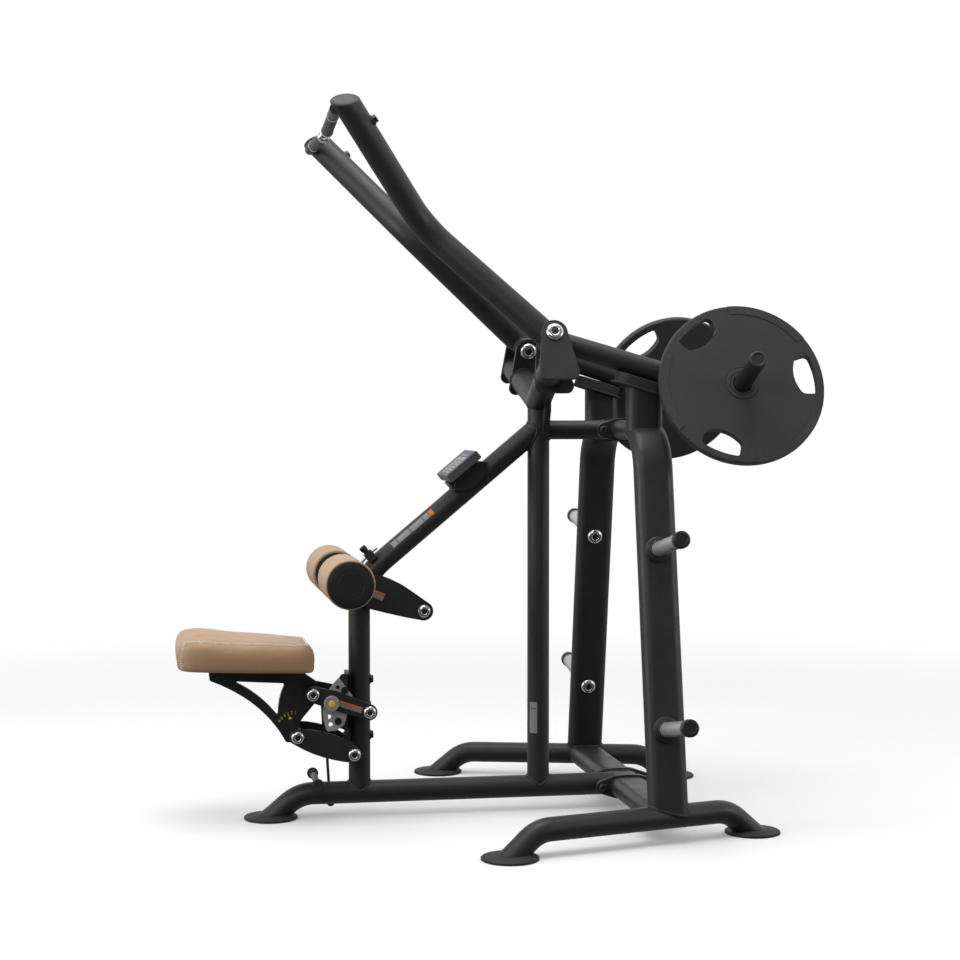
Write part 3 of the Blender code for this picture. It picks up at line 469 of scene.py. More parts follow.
def metal(name, tint, rough, streaks=None, depth=0.00003, metallic=1.0):
    """Bare metal with faint smears, and fine lines along one axis if brushed."""
    mat, tree, shader, place = graph(name, tint, rough[0], metallic)
    smear = noise_at(tree, place, 18.0, 5.0, 0.65)
    link(span(tree, smear, rough[0], rough[1]), shader.inputs["Roughness"])
    shade = tuple(c * 0.86 for c in tint)
    tone = blended(tree, span(tree, noise_at(tree, place, 40.0, 4.0), 0.0, 1.0), tint, shade)
    link(tone, shader.inputs["Base Color"])
    lines = noise_at(tree, place, 240.0, 2.0, 0.5, streaks) if streaks else noise_at(tree, place, 500.0, 2.0)
    bumped(tree, shader, lines, 0.25 if streaks else 0.06, depth)
    return mat


def vinyl():
    """Tan upholstery vinyl: pebbled grain with painted shade darkening its grooves, soft creases, slight
    mottling.
    """
    base, deep = (0.47, 0.3, 0.165), (0.425, 0.264, 0.14)
    mat, tree, shader, place = graph("vinyl_tan", base, 0.5)
    cells = tree.nodes.new("ShaderNodeTexVoronoi")
    cells.feature = "DISTANCE_TO_EDGE"
    fill(cells, {"Scale": 620.0, "Randomness": 1.0})
    warp = tree.nodes.new("ShaderNodeVectorMath")
    warp.operation = "ADD"
    soft = tree.nodes.new("ShaderNodeTexNoise")
    fill(soft, {"Scale": 190.0})
    shift = tree.nodes.new("ShaderNodeVectorMath")
    shift.operation = "SCALE"
    fill(shift, {"Scale": 0.0022})
    link(place, soft.inputs["Vector"])
    link(soft.outputs["Color"], shift.inputs[0])
    link(place, warp.inputs[0])
    link(shift.outputs[0], warp.inputs[1])
    link(warp.outputs[0], cells.inputs["Vector"])
    pebble = span(tree, cells.outputs["Distance"], 0.0, 1.0, 0.0, 0.22)
    mottled = blended(tree, span(tree, noise_at(tree, place, 11.0, 4.0), 0.0, 1.0), base, deep)
    # painted shade: the base colour is darkened along the pebble grain's grooves, where the bump is lowest
    painted_groove_shade = blended(tree, span(tree, cells.outputs["Distance"], 1.0, 0.0, 0.0, 0.12), mottled,
                      (0.4, 0.236, 0.124))
    link(painted_groove_shade, shader.inputs["Base Color"])
    link(span(tree, noise_at(tree, place, 34.0, 3.0), 0.44, 0.58), shader.inputs["Roughness"])
    fill(shader, {"Sheen Weight": 0.12, "Sheen Roughness": 0.4})
    first = bumped(tree, shader, pebble, 0.35, 0.00016)
    bumped(tree, shader, noise_at(tree, place, 26.0, 3.0, 0.55), 0.3, 0.0016, first)
    return mat


def thread():
    """White sewing thread with a fine twist."""
    mat, tree, shader, place = graph("thread_white", (0.8, 0.78, 0.73), 0.75)
    twist = noise_at(tree, place, 1500.0, 2.0)
    link(blended(tree, twist, (0.86, 0.84, 0.8), (0.66, 0.63, 0.57)), shader.inputs["Base Color"])
    bumped(tree, shader, twist, 0.5, 0.0002)
    return mat


def printed(name, colour):
    """Ink or film with faint speckle."""
    mat, tree, shader, place = graph(name, colour, 0.42)
    speck = noise_at(tree, place, 700.0, 2.0)
    deep = tuple(c * 0.88 for c in colour)
    link(blended(tree, speck, colour, deep), shader.inputs["Base Color"])
    link(span(tree, noise_at(tree, place, 60.0), 0.36, 0.5), shader.inputs["Roughness"])
    bumped(tree, shader, speck, 0.1, 0.00005)
    return mat


PAINT = coated("coat_black", (0.015, 0.015, 0.0153), (0.0205, 0.0205, 0.0208), (0.4, 0.52), 900.0, 0.00022,
               (0.06, 0.06, 0.06))
IRON = coated("coat_charcoal", (0.027, 0.027, 0.0275), (0.034, 0.034, 0.0345), (0.52, 0.64), 620.0, 0.0003,
              (0.085, 0.085, 0.085))
RUBBER = coated("rubber_black", (0.017, 0.017, 0.0175), (0.025, 0.025, 0.0255), (0.66, 0.8), 420.0, 0.00025)
GRIP = coated("rubber_grey", (0.085, 0.086, 0.088), (0.11, 0.111, 0.113), (0.58, 0.72), 700.0, 0.0003)
PLASTIC = coated("plastic_grey", (0.06, 0.062, 0.065), (0.075, 0.077, 0.08), (0.38, 0.48), 1100.0, 0.00012)
CAP = coated("plastic_black", (0.012, 0.012, 0.0122), (0.016, 0.016, 0.0162), (0.34, 0.44), 1000.0, 0.00012)
CHROME = metal("chrome_polished", (0.86, 0.86, 0.85), (0.13, 0.2))
STEEL = metal("steel_brushed", (0.5, 0.5, 0.49), (0.3, 0.4), (1.0, 9.0, 9.0), 0.00004, 0.55)
ZINC = metal("zinc_plated", (0.56, 0.56, 0.54), (0.38, 0.48), (6.0, 1.0, 1.0), 0.00004, 0.4)
VINYL = vinyl()
THREAD = thread()
YELLOW = printed("ink_yellow", (0.86, 0.7, 0.03))
ORANGE = printed("film_orange", (0.74, 0.17, 0.025))
SILVER = printed("film_grey", (0.26, 0.27, 0.28))
WHITE = printed("film_white", (0.74, 0.74, 0.73))
BLUE = printed("film_blue", (0.05, 0.16, 0.4))
INK = printed("film_dark", (0.035, 0.037, 0.04))


# ------------------------------------------------------------ visible pieces
def merged(*solids):
    """Several closed solids in one mesh."""
    bm = bmesh.new()
    for solid in solids:
        mesh = bpy.data.meshes.new("part")
        solid.to_mesh(mesh)
        solid.free()
        bm.from_mesh(mesh)
        bpy.data.meshes.remove(mesh)
    return bm


def show(name, bm, mat, body, slot, nodes=(), bevel=0.0, sharp=34.0, segments=2):
    """Finish a visible piece: shading, rounded edges and its body, and hide the CAD nodes it stands for. The
    slot argument is not used.
    """
    bmesh.ops.translate(bm, verts=bm.verts, vec=(SHIFT_X, 0, 0))
    mesh = bpy.data.meshes.new(name)
    bm.to_mesh(mesh)
    bm.free()
    mesh.shade_smooth()
    mesh.set_sharp_from_angle(angle=math.radians(sharp))
    mesh.materials.append(mat)
    obj = placed(name, mesh)
    if bevel:
        rounding = obj.modifiers.new("edges", "BEVEL")
        rounding.width = bevel
        rounding.segments = segments
        rounding.limit_method = "ANGLE"
        rounding.angle_limit = math.radians(40.0)
        rounding.harden_normals = True
    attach(obj, body)
    if nodes:
        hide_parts(*nodes)
    return obj


def painted(name, solids, nodes=(), bevel=EDGE_R, body="frame", **finish):
    """Several solids as one piece in the frame's black paint."""
    show(name, merged(*solids), PAINT, body, "black_paint", nodes, bevel, **finish)


def head_solids(centre, axis, radius, height):
    """Domed chrome head with its sunk socket, and the black plug in the socket."""
    dome = ((1.0, 0.0), (1.0, 0.1), (0.985, 0.3), (0.93, 0.56), (0.84, 0.78), (0.7, 0.94), (0.55, 1.0),
            (0.46, 0.98), (0.42, 0.9), (0.41, 0.42), (0.0, 0.42))
    plug = ((0.4, 0.43), (0.4, 0.74), (0.36, 0.8), (0.18, 0.81), (0.15, 0.7), (0.0, 0.7))
    return [turned([(radius * r, height * h) for r, h in profile], centre, axis, segments)
            for profile, segments in ((dome, FINE), (plug, 32))]


def pin(name, centre, axis, shaft, radius, half, height, body, nodes=(), mat=None, slot="chrome"):
    """Through pin with the same domed head at both ends."""
    centre, axis = Vector(centre), Vector(axis).normalized()
    solids, plugs = [turned([(shaft, -half), (shaft, half)], centre, axis, 32)], []
    for sign in (-1, 1):
        dome, plug = head_solids(centre + axis * half * sign, axis * sign, radius, height)
        solids.append(dome)
        plugs.append(plug)
    show("%s_dome" % name, merged(*solids), mat or CHROME, body, slot, nodes, sharp=60)
    show("%s_socket" % name, merged(*plugs), CAP, body, slot, sharp=40)


def crossing(start, direction, radius, at, along, other, count=96):
    """Curve where a tube running from start meets another tube's surface."""
    start, direction = Vector(start), Vector(direction).normalized()
    at, along = Vector(at), Vector(along).normalized()
    across = direction.orthogonal().normalized()
    up = direction.cross(across)
    points = []
    for i in range(count):
        turn = 2 * math.pi * i / count
        origin = start + (across * math.cos(turn) + up * math.sin(turn)) * radius
        offset = (origin - at) - along * (origin - at).dot(along)
        speed = direction - along * direction.dot(along)
        a, b, c = speed.dot(speed), 2 * offset.dot(speed), offset.dot(offset) - other * other
        root = max(0.0, b * b - 4 * a * c)
        points.append(origin + direction * ((-b - math.sqrt(root)) / (2 * a)))
    return points


def bead(name, points, radius=0.0032, body="frame"):
    """Rippled weld bead along a closed curve, painted over."""
    bm = bmesh.new()
    length = sum((points[i] - points[i - 1]).length for i in range(len(points)))
    total = max(60, int(length / 0.0011))
    fine = evenly(points, total, length / total)
    rings = []
    up = Vector((0.3, 0.2, 1.0))
    for k, point in enumerate(fine):
        along = (fine[(k + 1) % total] - fine[k - 1]).normalized()
        steep = abs(along.dot(up.normalized())) < 0.98
        across = along.cross(up).normalized() if steep else along.orthogonal()
        high = along.cross(across)
        size = radius * (1.0 + 0.1 * math.sin(k * 2 * math.pi / 3.7) + 0.06 * noise.noise(point * 90))
        rings.append([bm.verts.new(point + (across * a + high * b) * size) for a, b in circle(1.0, 8)])
    bridge(bm, rings + [rings[0]], closed_ends=False)
    show(name, bm, PAINT, body, "black_paint", sharp=180)


# ------------------------------------------------------------ base and uprights
def flange_outline(height):
    """Lens-like plate round a cross tube, long enough for its two tie bolts."""
    return wrapped([(POST_X, height, 0.035), (POST_X - 0.03, height, 0.0335), (POST_X + 0.03, height, 0.0335),
                    (POST_X - 0.073, height, 0.02), (POST_X + 0.073, height, 0.02)], 40)


def cross_tube(start, end, height):
    """Flat-oval tube across the machine, between two Y values."""
    return sweep(oval(OVAL_LONG, OVAL_SHORT, 18), [(POST_X, start, height), (POST_X, end, height)], (1, 0, 0))


def cross_hub(height):
    """Middle of a cross tube, with the flange that bolts to each side frame."""
    flange = flange_outline(height)
    flanges = [side_plate(flange, *between(side, 0.045, 0.055)) for side in (1, -1)]
    return [cross_tube(-0.05, 0.05, height), *flanges]


def spine_path():
    drop = SPINE_Z / math.tan(DIAG_ANGLE)
    return bent([(0.225, 0, SPINE_Z), (NOSE_X + drop, 0, SPINE_Z), (NOSE_X, 0, 0)], [0.11], 3.0)


def front_tube_path():
    corner_z = DIAG_Z - (FRONT_X - DIAG_X) * -math.tan(DIAG_ANGLE)
    top_z = corner_z - FRONT_X * math.tan(DIAG_ANGLE)
    return bent([(FRONT_X, 0, SPINE_Z), (FRONT_X, 0, corner_z), (0, 0, top_z)], [FRONT_BEND_R], 2.5)


def saddle_tube(side, radius, start=0.0, end=0.246 + EAR_IN + 0.005):
    return turned([(radius, start), (radius, end - 0.003), (radius - 0.003, end)], (0, 0, SADDLE_Z),
                  mirrored(PIVOT_AXIS, side), FINE)


def mirrored(vector, side):
    return Vector((vector[0], vector[1] * side, vector[2]))


def ear_axes(side):
    """Pivot axis, with the downward and rearward directions square to it."""
    axis = mirrored(PIVOT_AXIS, side)
    down = (Vector((0, 0, -1)) - axis * Vector((0, 0, -1)).dot(axis)).normalized()
    rear = down.cross(axis).normalized()
    if rear.x < 0:
        rear = -rear
    return axis, down, rear


def build_base():
    spine = sweep(circle(SPINE_R, FINE), spine_path(), (0, 1, 0), end_cut=((0, 0, FOOT_TOP + GAP), (0, 0, 1)))
    lug = side_plate(wrapped([(*GAS_FOOT, 0.011), (-0.594, 0.055, 0.012), (-0.613, 0.055, 0.012)], 28),
                     0.02, 0.0405)
    painted("spine_tube", [spine, *cross_hub(SPINE_Z), lug], ["base_spine"])
    bar = sweep(circle(BAR_R, FINE), [(0.0, 0, UPPER_Z), (0.225, 0, UPPER_Z)], (0, 1, 0))
    painted("upper_tube", [bar, *cross_hub(UPPER_Z)], ["upper_bar"])
    for level, height in (("lower", SPINE_Z), ("upper", UPPER_Z)):
        for place, dx in (("front", -0.076), ("rear", 0.076)):
            name = "%s_%s_tie_bolt" % (level, place)
            pin(name, (POST_X + dx, 0, height), (0, 1, 0), 0.0078, 0.0122, 0.0652, 0.0084, "frame", [name],
                PAINT, "black_paint")

    px, pz = LEVER_PIN
    tube = sweep(circle(FRONT_R, FINE), front_tube_path(), (0, 1, 0))
    lug = side_plate(wrapped([(px, pz, 0.022), (-0.5, 0.62, 0.015), (-0.505, 0.655, 0.02)], 40),
                     -0.012, 0.012)
    boss = rod(px, pz, 0.019, -(LEAF_IN - 0.0006), LEAF_IN - 0.0006, 40)
    painted("front_upright", [tube, lug, boss], ["front_tube"])

    upright = turned([(TUBE_R, SPINE_Z), (TUBE_R, SADDLE_Z)], (0, 0, 0), (0, 0, 1), FINE)
    ribs = []
    for side in (-1, 1):
        profile = [(0.02, 1.075), (0.0345, 1.075), (0.075, 1.16), (0.075, 1.185), (0.02, 1.185)]
        ribs.append(slab([(side * y, z) for y, z in profile], (0, 0, 0), (0, 1, 0), (0, 0, 1), 0.004, 0.022))
    painted("centre_upright", [upright, *ribs], ["main_upright"])
    for name, x in (("front", FRONT_X), ("centre", 0.0)):
        joint = crossing((x, 0, 0.3), (0, 0, -1), TUBE_R - 0.0004, (0, 0, SPINE_Z), (1, 0, 0),
                         SPINE_R + 0.0002)
        bead("%s_foot_bead" % name, joint)
    path = front_tube_path()
    bead("diagonal_bead", crossing(path[-2], path[-1] - path[-2], FRONT_R - 0.0003, (0, 0, 0), (0, 0, 1),
                                   TUBE_R + 0.0003))
    bead("bar_bead", crossing((0.2, 0, UPPER_Z), (-1, 0, 0), BAR_R, (0, 0, 0), (0, 0, 1), TUBE_R))
    for level, height in (("lower", SPINE_Z), ("upper", UPPER_Z)):
        for name, side in SIDES:
            section = oval(OVAL_LONG, OVAL_SHORT, 18)
            loop = [Vector((POST_X + a, side * 0.0455, height + b)) for a, b in section]
            bead("%s_%s_hub_bead" % (name, level), loop, 0.0026)


def build_saddle():
    for name, side in SIDES:
        axis, down, rear = ear_axes(side)
        pivot = mirrored(PIVOT, side)
        outline = wrapped([(0, 0, 0.0365), (-0.027, 0.118, 0.02), (0.044, 0.118, 0.02)], 56)
        ears = []
        for low, high in ((EAR_IN, EAR_IN + EAR_T), (-EAR_IN - EAR_T, -EAR_IN)):
            if rear.cross(down).dot(axis) < 0:
                low, high = -high, -low
            ears.append(slab(outline, pivot, rear, down, low, high))
        tube = saddle_tube(side, SADDLE_R, -0.012)
        painted("%s_saddle" % name, [tube, *ears], ["%s_pivot_bracket" % name], 0.0013)
        for where in (EAR_IN, -EAR_IN, -EAR_IN - EAR_T):
            centre = Vector((0, 0, SADDLE_Z)) + axis * (axis.dot(pivot - Vector((0, 0, SADDLE_Z))) + where)
            across = axis.orthogonal().normalized()
            up = axis.cross(across)
            loop = [centre + (across * a + up * b) for a, b in circle(SADDLE_R, 72)]
            bead("%s_ear_bead_%d" % (name, round((where + 0.1) * 1000)), loop, 0.0026)
        pin("%s_arm_axle" % name, pivot, axis, 0.0124, 0.025, EAR_IN + EAR_T + GAP, 0.0105, "frame",
            ["%s_arm_axle" % name])


# ------------------------------------------------------------ side frames
def skid_ends(side):
    return Vector((-0.201, side * 0.611, 0.0)), Vector((0.514, side * 0.418, 0.0))


def skid_solids(side):
    """Bent skid tube, trimmed level on its two feet, and the cross tube that meets it."""
    front, rear = skid_ends(side)
    along = (rear - front).normalized()
    drop = along * (SPINE_Z / math.tan(DIAG_ANGLE))
    lift = Vector((0, 0, SPINE_Z))
    path = bent([front, front + drop + lift, rear - drop + lift, rear], [0.1, 0.1], 3.0)
    level = ((0, 0, FOOT_TOP + GAP), (0, 0, 1))
    skid = sweep(circle(TUBE_R, FINE), path, along.cross(Vector((0, 0, 1))), level, level)
    return [skid, cross_tube(side * 0.06, side * 0.47, SPINE_Z)]


def post_path(side):
    def half_track(z):
        return POST_Y0 - POST_LEAN * (z - POST_Z0)
    return bent([(POST_X, side * half_track(0.072), 0.072), (POST_X, side * half_track(UPPER_Z), UPPER_Z),
                 (POST_X, side * 0.06, UPPER_Z)], [0.13], 3.0)


def horn_frame(side, height):
    """Root and direction of a storage horn, square to its leaning post."""
    lean = math.atan(POST_LEAN)
    outward = Vector((0.0, side * math.cos(lean), math.sin(lean)))
    return Vector((POST_X - 0.004, side * (POST_Y0 - POST_LEAN * (height - POST_Z0)), height)), outward


def bumper_frame(side):
    """Root, normal and length direction of the pad under an arm at rest."""
    slope = math.radians(-16.7)
    along = Vector((math.cos(slope), 0, math.sin(slope)))
    normal = Vector((-math.sin(slope), 0, math.cos(slope)))
    arm = PIVOT + (ARM_REAR - PIVOT) * ((0.25 - PIVOT.x) / (ARM_REAR.x - PIVOT.x))
    top = Vector((0.247, side * (arm.y + 0.004), 0)) + Vector((0, 0, 1)) * (arm.z - 0.001)
    return top - normal * (0.03 + 0.001 + 0.033), normal, along


def rubber_foot(name, centre, node):
    profile = [(FOOT_R - 0.0015, 0.0), (FOOT_R, 0.0014), (FOOT_R, 0.006), (FOOT_R - 0.0022, 0.008),
               (0.068, 0.0083), (0.0672, 0.0076), (0.0655, 0.0076), (0.0645, 0.0085), (0.056, 0.0088),
               (0.053, 0.0098), (0.0515, 0.0112), (0.05, FOOT_TOP), (0.0, FOOT_TOP)]
    show(name, turned(profile, centre, (0, 0, 1), 96), RUBBER, "frame", "black_rubber", [node], sharp=50)


def build_sides():
    for name, side in SIDES:
        flange = side_plate(flange_outline(SPINE_Z), *between(side, 0.055 + GAP, 0.065))
        painted("%s_skid_tube" % name, [*skid_solids(side), flange], ["%s_skid" % name])

        post = sweep(oval(OVAL_LONG, OVAL_SHORT, 20), post_path(side), (1, 0, 0))
        flange = side_plate(flange_outline(UPPER_Z), *between(side, 0.055 + GAP, 0.065))
        pad_low, pad_normal, _ = bumper_frame(side)
        neck = sweep(oval(0.103, OVAL_SHORT, 18), [(0.2485, side * 0.25, 1.1), (0.2485, side * 0.25, 1.3)],
                     (1, 0, 0), end_cut=(pad_low - pad_normal * GAP, pad_normal))
        painted("%s_post_tube" % name, [post, flange, neck], ["%s_post" % name])

        # weld round the post's foot, found by dropping onto the skid and cross tubes
        tree = BVHTree.FromBMesh(merged(*skid_solids(side)))
        base, way = post_path(side)[0], post_path(side)[1] - post_path(side)[0]
        way.normalize()
        across = Vector((1, 0, 0))
        up = way.cross(across)
        loop = []
        for a, b in oval(OVAL_LONG, OVAL_SHORT, 24):
            start = base + across * a + up * b + way * 0.12
            hit, _, _, _ = tree.ray_cast(start, -way, 0.3)
            loop.append(hit if hit else start - way * 0.12)
        bead("%s_post_bead" % name, loop, 0.0032)

        for label, height in HORN_HEIGHTS:
            centre, outward = horn_frame(side, height)
            face = OVAL_SHORT / 2 + GAP
            node = "%s_%s_horn" % (name, label)
            sleeve = [(0.02, face + 0.008), (0.02, HORN_END - 0.018)]
            show(node + "_sleeve", turned(sleeve, centre, outward, FINE), STEEL, "frame", "steel", [node])
            collar = [(0.035, face), (0.036, face + 0.0012), (0.0358, face + 0.005), (0.034, face + 0.0072),
                      (0.0245, face + 0.0085), (0.0235, face + 0.011), (0.0203, face + 0.0115),
                      (0.0203, face + 0.008)]
            painted(node + "_collar", [turned(collar, centre, outward, FINE)], bevel=0.0, sharp=60)
            cap = [(0.0201, HORN_END - 0.02), (0.0228, HORN_END - 0.02), (0.0235, HORN_END - 0.0185),
                   (0.0235, HORN_END - 0.004), (0.0228, HORN_END - 0.0014), (0.0212, HORN_END),
                   (0.015, HORN_END), (0.014, HORN_END - 0.0012), (0.0, HORN_END - 0.0012)]
            show(node + "_cap", turned(cap, centre, outward, FINE), CAP, "frame", "steel", sharp=50)
            dome, plug = head_solids(centre - outward * face, -outward, 0.0235, 0.01)
            show(node + "_dome", dome, CHROME, "frame", "steel", sharp=60)
            show(node + "_socket", plug, CAP, "frame", "steel", sharp=40)

        base, normal, along = bumper_frame(side)
        across = normal.cross(along).normalized()
        pad = slab(oval(0.14, 0.066, 20), base, along, across, 0.0, 0.033)
        lip = slab(oval(0.156, 0.08, 20), base, along, across, 0.0, 0.006)
        show("%s_bumper_pad" % name, merged(pad, lip), RUBBER, "frame", "black_rubber",
             ["%s_bumper" % name], 0.0026, segments=3)
    rubber_foot("nose_foot_disc", (NOSE_X, 0, 0), "front_foot")
    for name, side in SIDES:
        for place, centre in zip(("front", "rear"), skid_ends(side)):
            rubber_foot("%s_%s_foot_disc" % (name, place), centre, "%s_%s_foot" % (name, place))


# ------------------------------------------------------------ lever arms
def grip_frame(side):
    return Vector((-0.622, side * 0.292, 1.9475)), Vector((0.0067, -side * 0.24, -0.0066)).normalized()


def build_arms():
    for name, side in SIDES:
        body = "%s_arm_lever" % name
        axis = mirrored(PIVOT_AXIS, side)
        pivot = mirrored(PIVOT, side)
        bend, tip, rear = mirrored(ARM_BEND, side), mirrored(ARM_TIP, side), mirrored(ARM_REAR, side)
        path = bent([rear, pivot, bend, tip], [0.15, 0.2], 2.5)
        dense = []
        for first, second in zip(path, path[1:]):
            steps = max(1, int((second - first).length / 0.03))
            dense += [first.lerp(second, k / steps) for k in range(steps)]
        path = dense + [path[-1]]
        scales = []
        front = (bend - pivot).normalized()
        back = (rear - pivot).normalized()
        for point in path:
            offset = point - pivot
            ahead = min(1.0, max(0.0, (offset.dot(front) - offset.dot(back) + 0.05) / 0.12))
            scales.append((0.03 - 0.0005 * ahead, 0.03 + 0.008 * ahead))
        tip_normal = Vector((0.0, side * 0.63, 0.77)).normalized()
        tube = sweep(circle(1.0, FINE), path, axis, end_cut=(tip, tip_normal), scales=scales,
                     dome=((0.985, 0.0012), (0.93, 0.0034), (0.8, 0.0056), (0.55, 0.0074), (0.25, 0.008)))
        hub = turned([(0.033, -EAR_IN + GAP), (0.034, -EAR_IN + 0.0015), (0.034, EAR_IN - 0.0015),
                      (0.033, EAR_IN - GAP)], pivot, axis, FINE)
        boss = turned([(0.036, -0.032), (0.036, 0.052), (0.0375, 0.0527), (0.041, 0.0535),
                       (0.041, PLATE_FACE - PLATE_T - 0.002), (0.04, PLATE_FACE - PLATE_T - GAP)],
                      rear, axis, FINE)
        sleeve = turned([(SLEEVE_R, 0.05), (SLEEVE_R, SLEEVE_END - 0.0045),
                         (SLEEVE_R - 0.0008, SLEEVE_END - 0.0018), (SLEEVE_R - 0.003, SLEEVE_END),
                         (0.0175, SLEEVE_END), (0.0162, SLEEVE_END - 0.0006),
                         (0.0154, SLEEVE_END - 0.0024), (0.0, SLEEVE_END - 0.003)], rear, axis, FINE)
        start, along = grip_frame(side)
        stem = turned([(0.0162, -0.1), (0.0162, -0.002), (0.015, -GAP)], start, along, FINE)
        painted("%s_arm_tube" % name, [tube, hub, boss, sleeve, stem], ["%s_arm" % name], 0.0, body, sharp=50)
        toward = (tip - bend).normalized()
        bolt_at = tip - toward * 0.095
        bolt_axis = Vector((0.83, side * 0.18, 0.53)).normalized()
        washer = [(0.014, 0.02), (0.014, 0.038), (0.0134, 0.0386), (0.008, 0.0386)]
        nut = [(0.0118, 0.038), (0.0118, 0.0462), (0.0106, 0.0478), (0.0, 0.0478)]
        fixing = [turned(profile, bolt_at, bolt_axis, sides) for profile, sides in ((washer, 40), (nut, 6))]
        show("%s_tip_bolt" % name, merged(*fixing), CAP, body, "black_paint", bevel=0.0004)
        across = axis.cross(front).normalized()
        for sign in (-1, 1):
            middle = pivot + axis * sign * 0.0285
            loop = [middle + (front * a + across * b) * 0.0345 for a, b in circle(1.0, 72)]
            bead("%s_hub_bead_%s" % (name, "ab"[sign > 0]), loop, 0.0022, body)

        # rubber grip with its rings, turning on a chrome spindle
        ridges = [(0.0063, 0.009), (0.016, 0.009), (0.0163, 0.0095)]
        last = GRIP_L - 0.012
        count = 60
        for k in range(count):
            at = 0.012 + (last - 0.014) * k / count
            ridges += [(0.0163, at), (0.01585, at + 0.001), (0.01585, at + 0.0018), (0.0163, at + 0.0027)]
        ridges += [(0.0163, last - 0.001), (0.016, last), (0.0063, last)]
        grip_body = "%s_hand_grip" % name
        show("%s_grip_sleeve" % name, ring(ridges, start, along, FINE), GRIP, grip_body, "grey_rubber",
             ["%s_grip" % name], sharp=40)
        lower = [(0.0062, 0.0002), (0.0166, 0.0002), (0.0172, 0.001), (0.0172, 0.008), (0.0166, 0.0088),
                 (0.0062, 0.0088)]
        upper = [(0.0062, last + 0.0003), (0.0172, last + 0.0003), (0.018, last + 0.0012),
                 (0.018, GRIP_L - 0.001), (0.0174, GRIP_L - 0.0002), (0.0062, GRIP_L - 0.0002)]
        rings = [ring(profile, start, along, FINE) for profile in (lower, upper)]
        show("%s_grip_rings" % name, merged(*rings), CHROME, grip_body, "chrome", sharp=40)
        end = start + along * (GRIP_L + GAP)
        dome, plug = head_solids(end, along, 0.0176, 0.0074)
        spindle = turned([(0.0057, -0.0195), (0.0057, GRIP_L + 0.001)], start, along, 32)
        show("%s_spindle" % name, merged(spindle, dome), CHROME, body, "chrome", ["%s_grip_axle" % name],
             sharp=60)
        show("%s_spindle_socket" % name, plug, CAP, body, "chrome", sharp=40)
        build_plate(name, rear, axis)


def build_plate(name, rear, axis):
    """Tri-grip disc: rounded rim, three raised rim pads, three bowed hand holes, stepped hub."""
    outer, inner = PLATE_FACE, PLATE_FACE - PLATE_T
    bore_r = SLEEVE_R + 0.0012
    profile = [(bore_r, inner + 0.001), (bore_r + 0.001, inner), (0.2245, inner), (0.2255, inner),
               (0.229, inner + 0.0008), (0.2308, inner + 0.0025), (PLATE_R, inner + 0.005),
               (PLATE_R, outer - 0.005), (0.2308, outer - 0.0025), (0.229, outer - 0.0008), (0.2255, outer),
               (0.2245, outer), (0.049, outer), (0.0475, outer), (0.0468, outer - 0.001),
               (0.0456, outer - 0.001), (0.0448, outer + 0.001), (0.0438, outer + 0.0018),
               (0.0345, outer + 0.0018), (0.0335, outer + 0.0006), (0.0325, outer + 0.0006),
               (0.0318, outer + 0.0016), (0.027, outer + 0.0018), (bore_r, outer + 0.0002)]
    disc = ring(profile, rear, axis, 160)
    rearward = Vector((1, 0, 0)) - axis * axis.x
    rearward.normalize()
    upward = Vector((0, 0, 1)) - axis * axis.z - rearward * rearward.z
    upward = (upward - rearward * upward.dot(rearward)).normalized()
    flip = 1.0 if rearward.cross(upward).dot(axis) > 0 else -1.0
    pads, cuts = [], []
    for k in range(3):
        middle = 65.0 + 120.0 * k
        corners = arc((0, 0), 0.23, middle - 30.0, middle + 30.0, 40)
        corners += arc((0, 0), 0.2065, middle + 29.3, middle - 29.3, 40)
        low, high = sorted((flip * (outer - 0.002), flip * (outer + 0.0019)))
        pads.append(slab(corners, rear, rearward, upward, low, high))
        angle = math.radians(7.0 + 120.0 * k)
        radial = rearward * math.cos(angle) + upward * math.sin(angle)
        tangent = upward * math.cos(angle) - rearward * math.sin(angle)
        bow = []
        for j in range(13):
            t = -0.05 + 0.1 * j / 12
            bow.append((math.sqrt(0.2115 ** 2 - t * t), t))
        end = [(0.201, 0.0555), (0.195, 0.0572), (0.188, 0.057), (0.17, 0.0535), (0.164, 0.0505),
               (0.16, 0.045)]
        inside = []
        for j in range(9):
            t = 0.038 - 0.076 * j / 8
            inside.append((0.149 + 0.008 * (t / 0.038) ** 2, t))
        hole = bow + end + inside + [(a, -b) for a, b in end[::-1]]
        low, high = sorted((flip * (inner - 0.02), flip * (outer + 0.02)))
        cuts.append(slab(hole, rear, radial, tangent, low, high))
    show("%s_disc" % name, combined(disc, pads, cuts), IRON, "%s_plate" % name, "charcoal_iron",
         ["%s_weight_plate" % name], sharp=20)


def temp(bm):
    """Object that lives only while a Boolean runs."""
    mesh = bpy.data.meshes.new("cutter")
    bm.to_mesh(mesh)
    bm.free()
    return placed("cutter", mesh)


def combined(base, joined=(), cut=()):
    """Weld solids on and cut others away with exact Booleans."""
    target = temp(base)
    tools = []
    for operation, solids in (("UNION", joined), ("DIFFERENCE", cut)):
        for solid in solids:
            tool = temp(solid)
            tools.append(tool)
            modifier = target.modifiers.new(operation, "BOOLEAN")
            modifier.operation = operation
            modifier.solver = "EXACT"
            modifier.object = tool
    evaluated = target.evaluated_get(bpy.context.evaluated_depsgraph_get())
    bm = bmesh.new()
    bm.from_mesh(evaluated.to_mesh())
    evaluated.to_mesh_clear()
    for obj in [target] + tools:
        mesh = obj.data
        bpy.data.objects.remove(obj)
        bpy.data.meshes.remove(mesh)
    bmesh.ops.remove_doubles(bm, verts=bm.verts, dist=1e-6)
    bmesh.ops.dissolve_degenerate(bm, dist=1e-6, edges=bm.edges)
    return bm


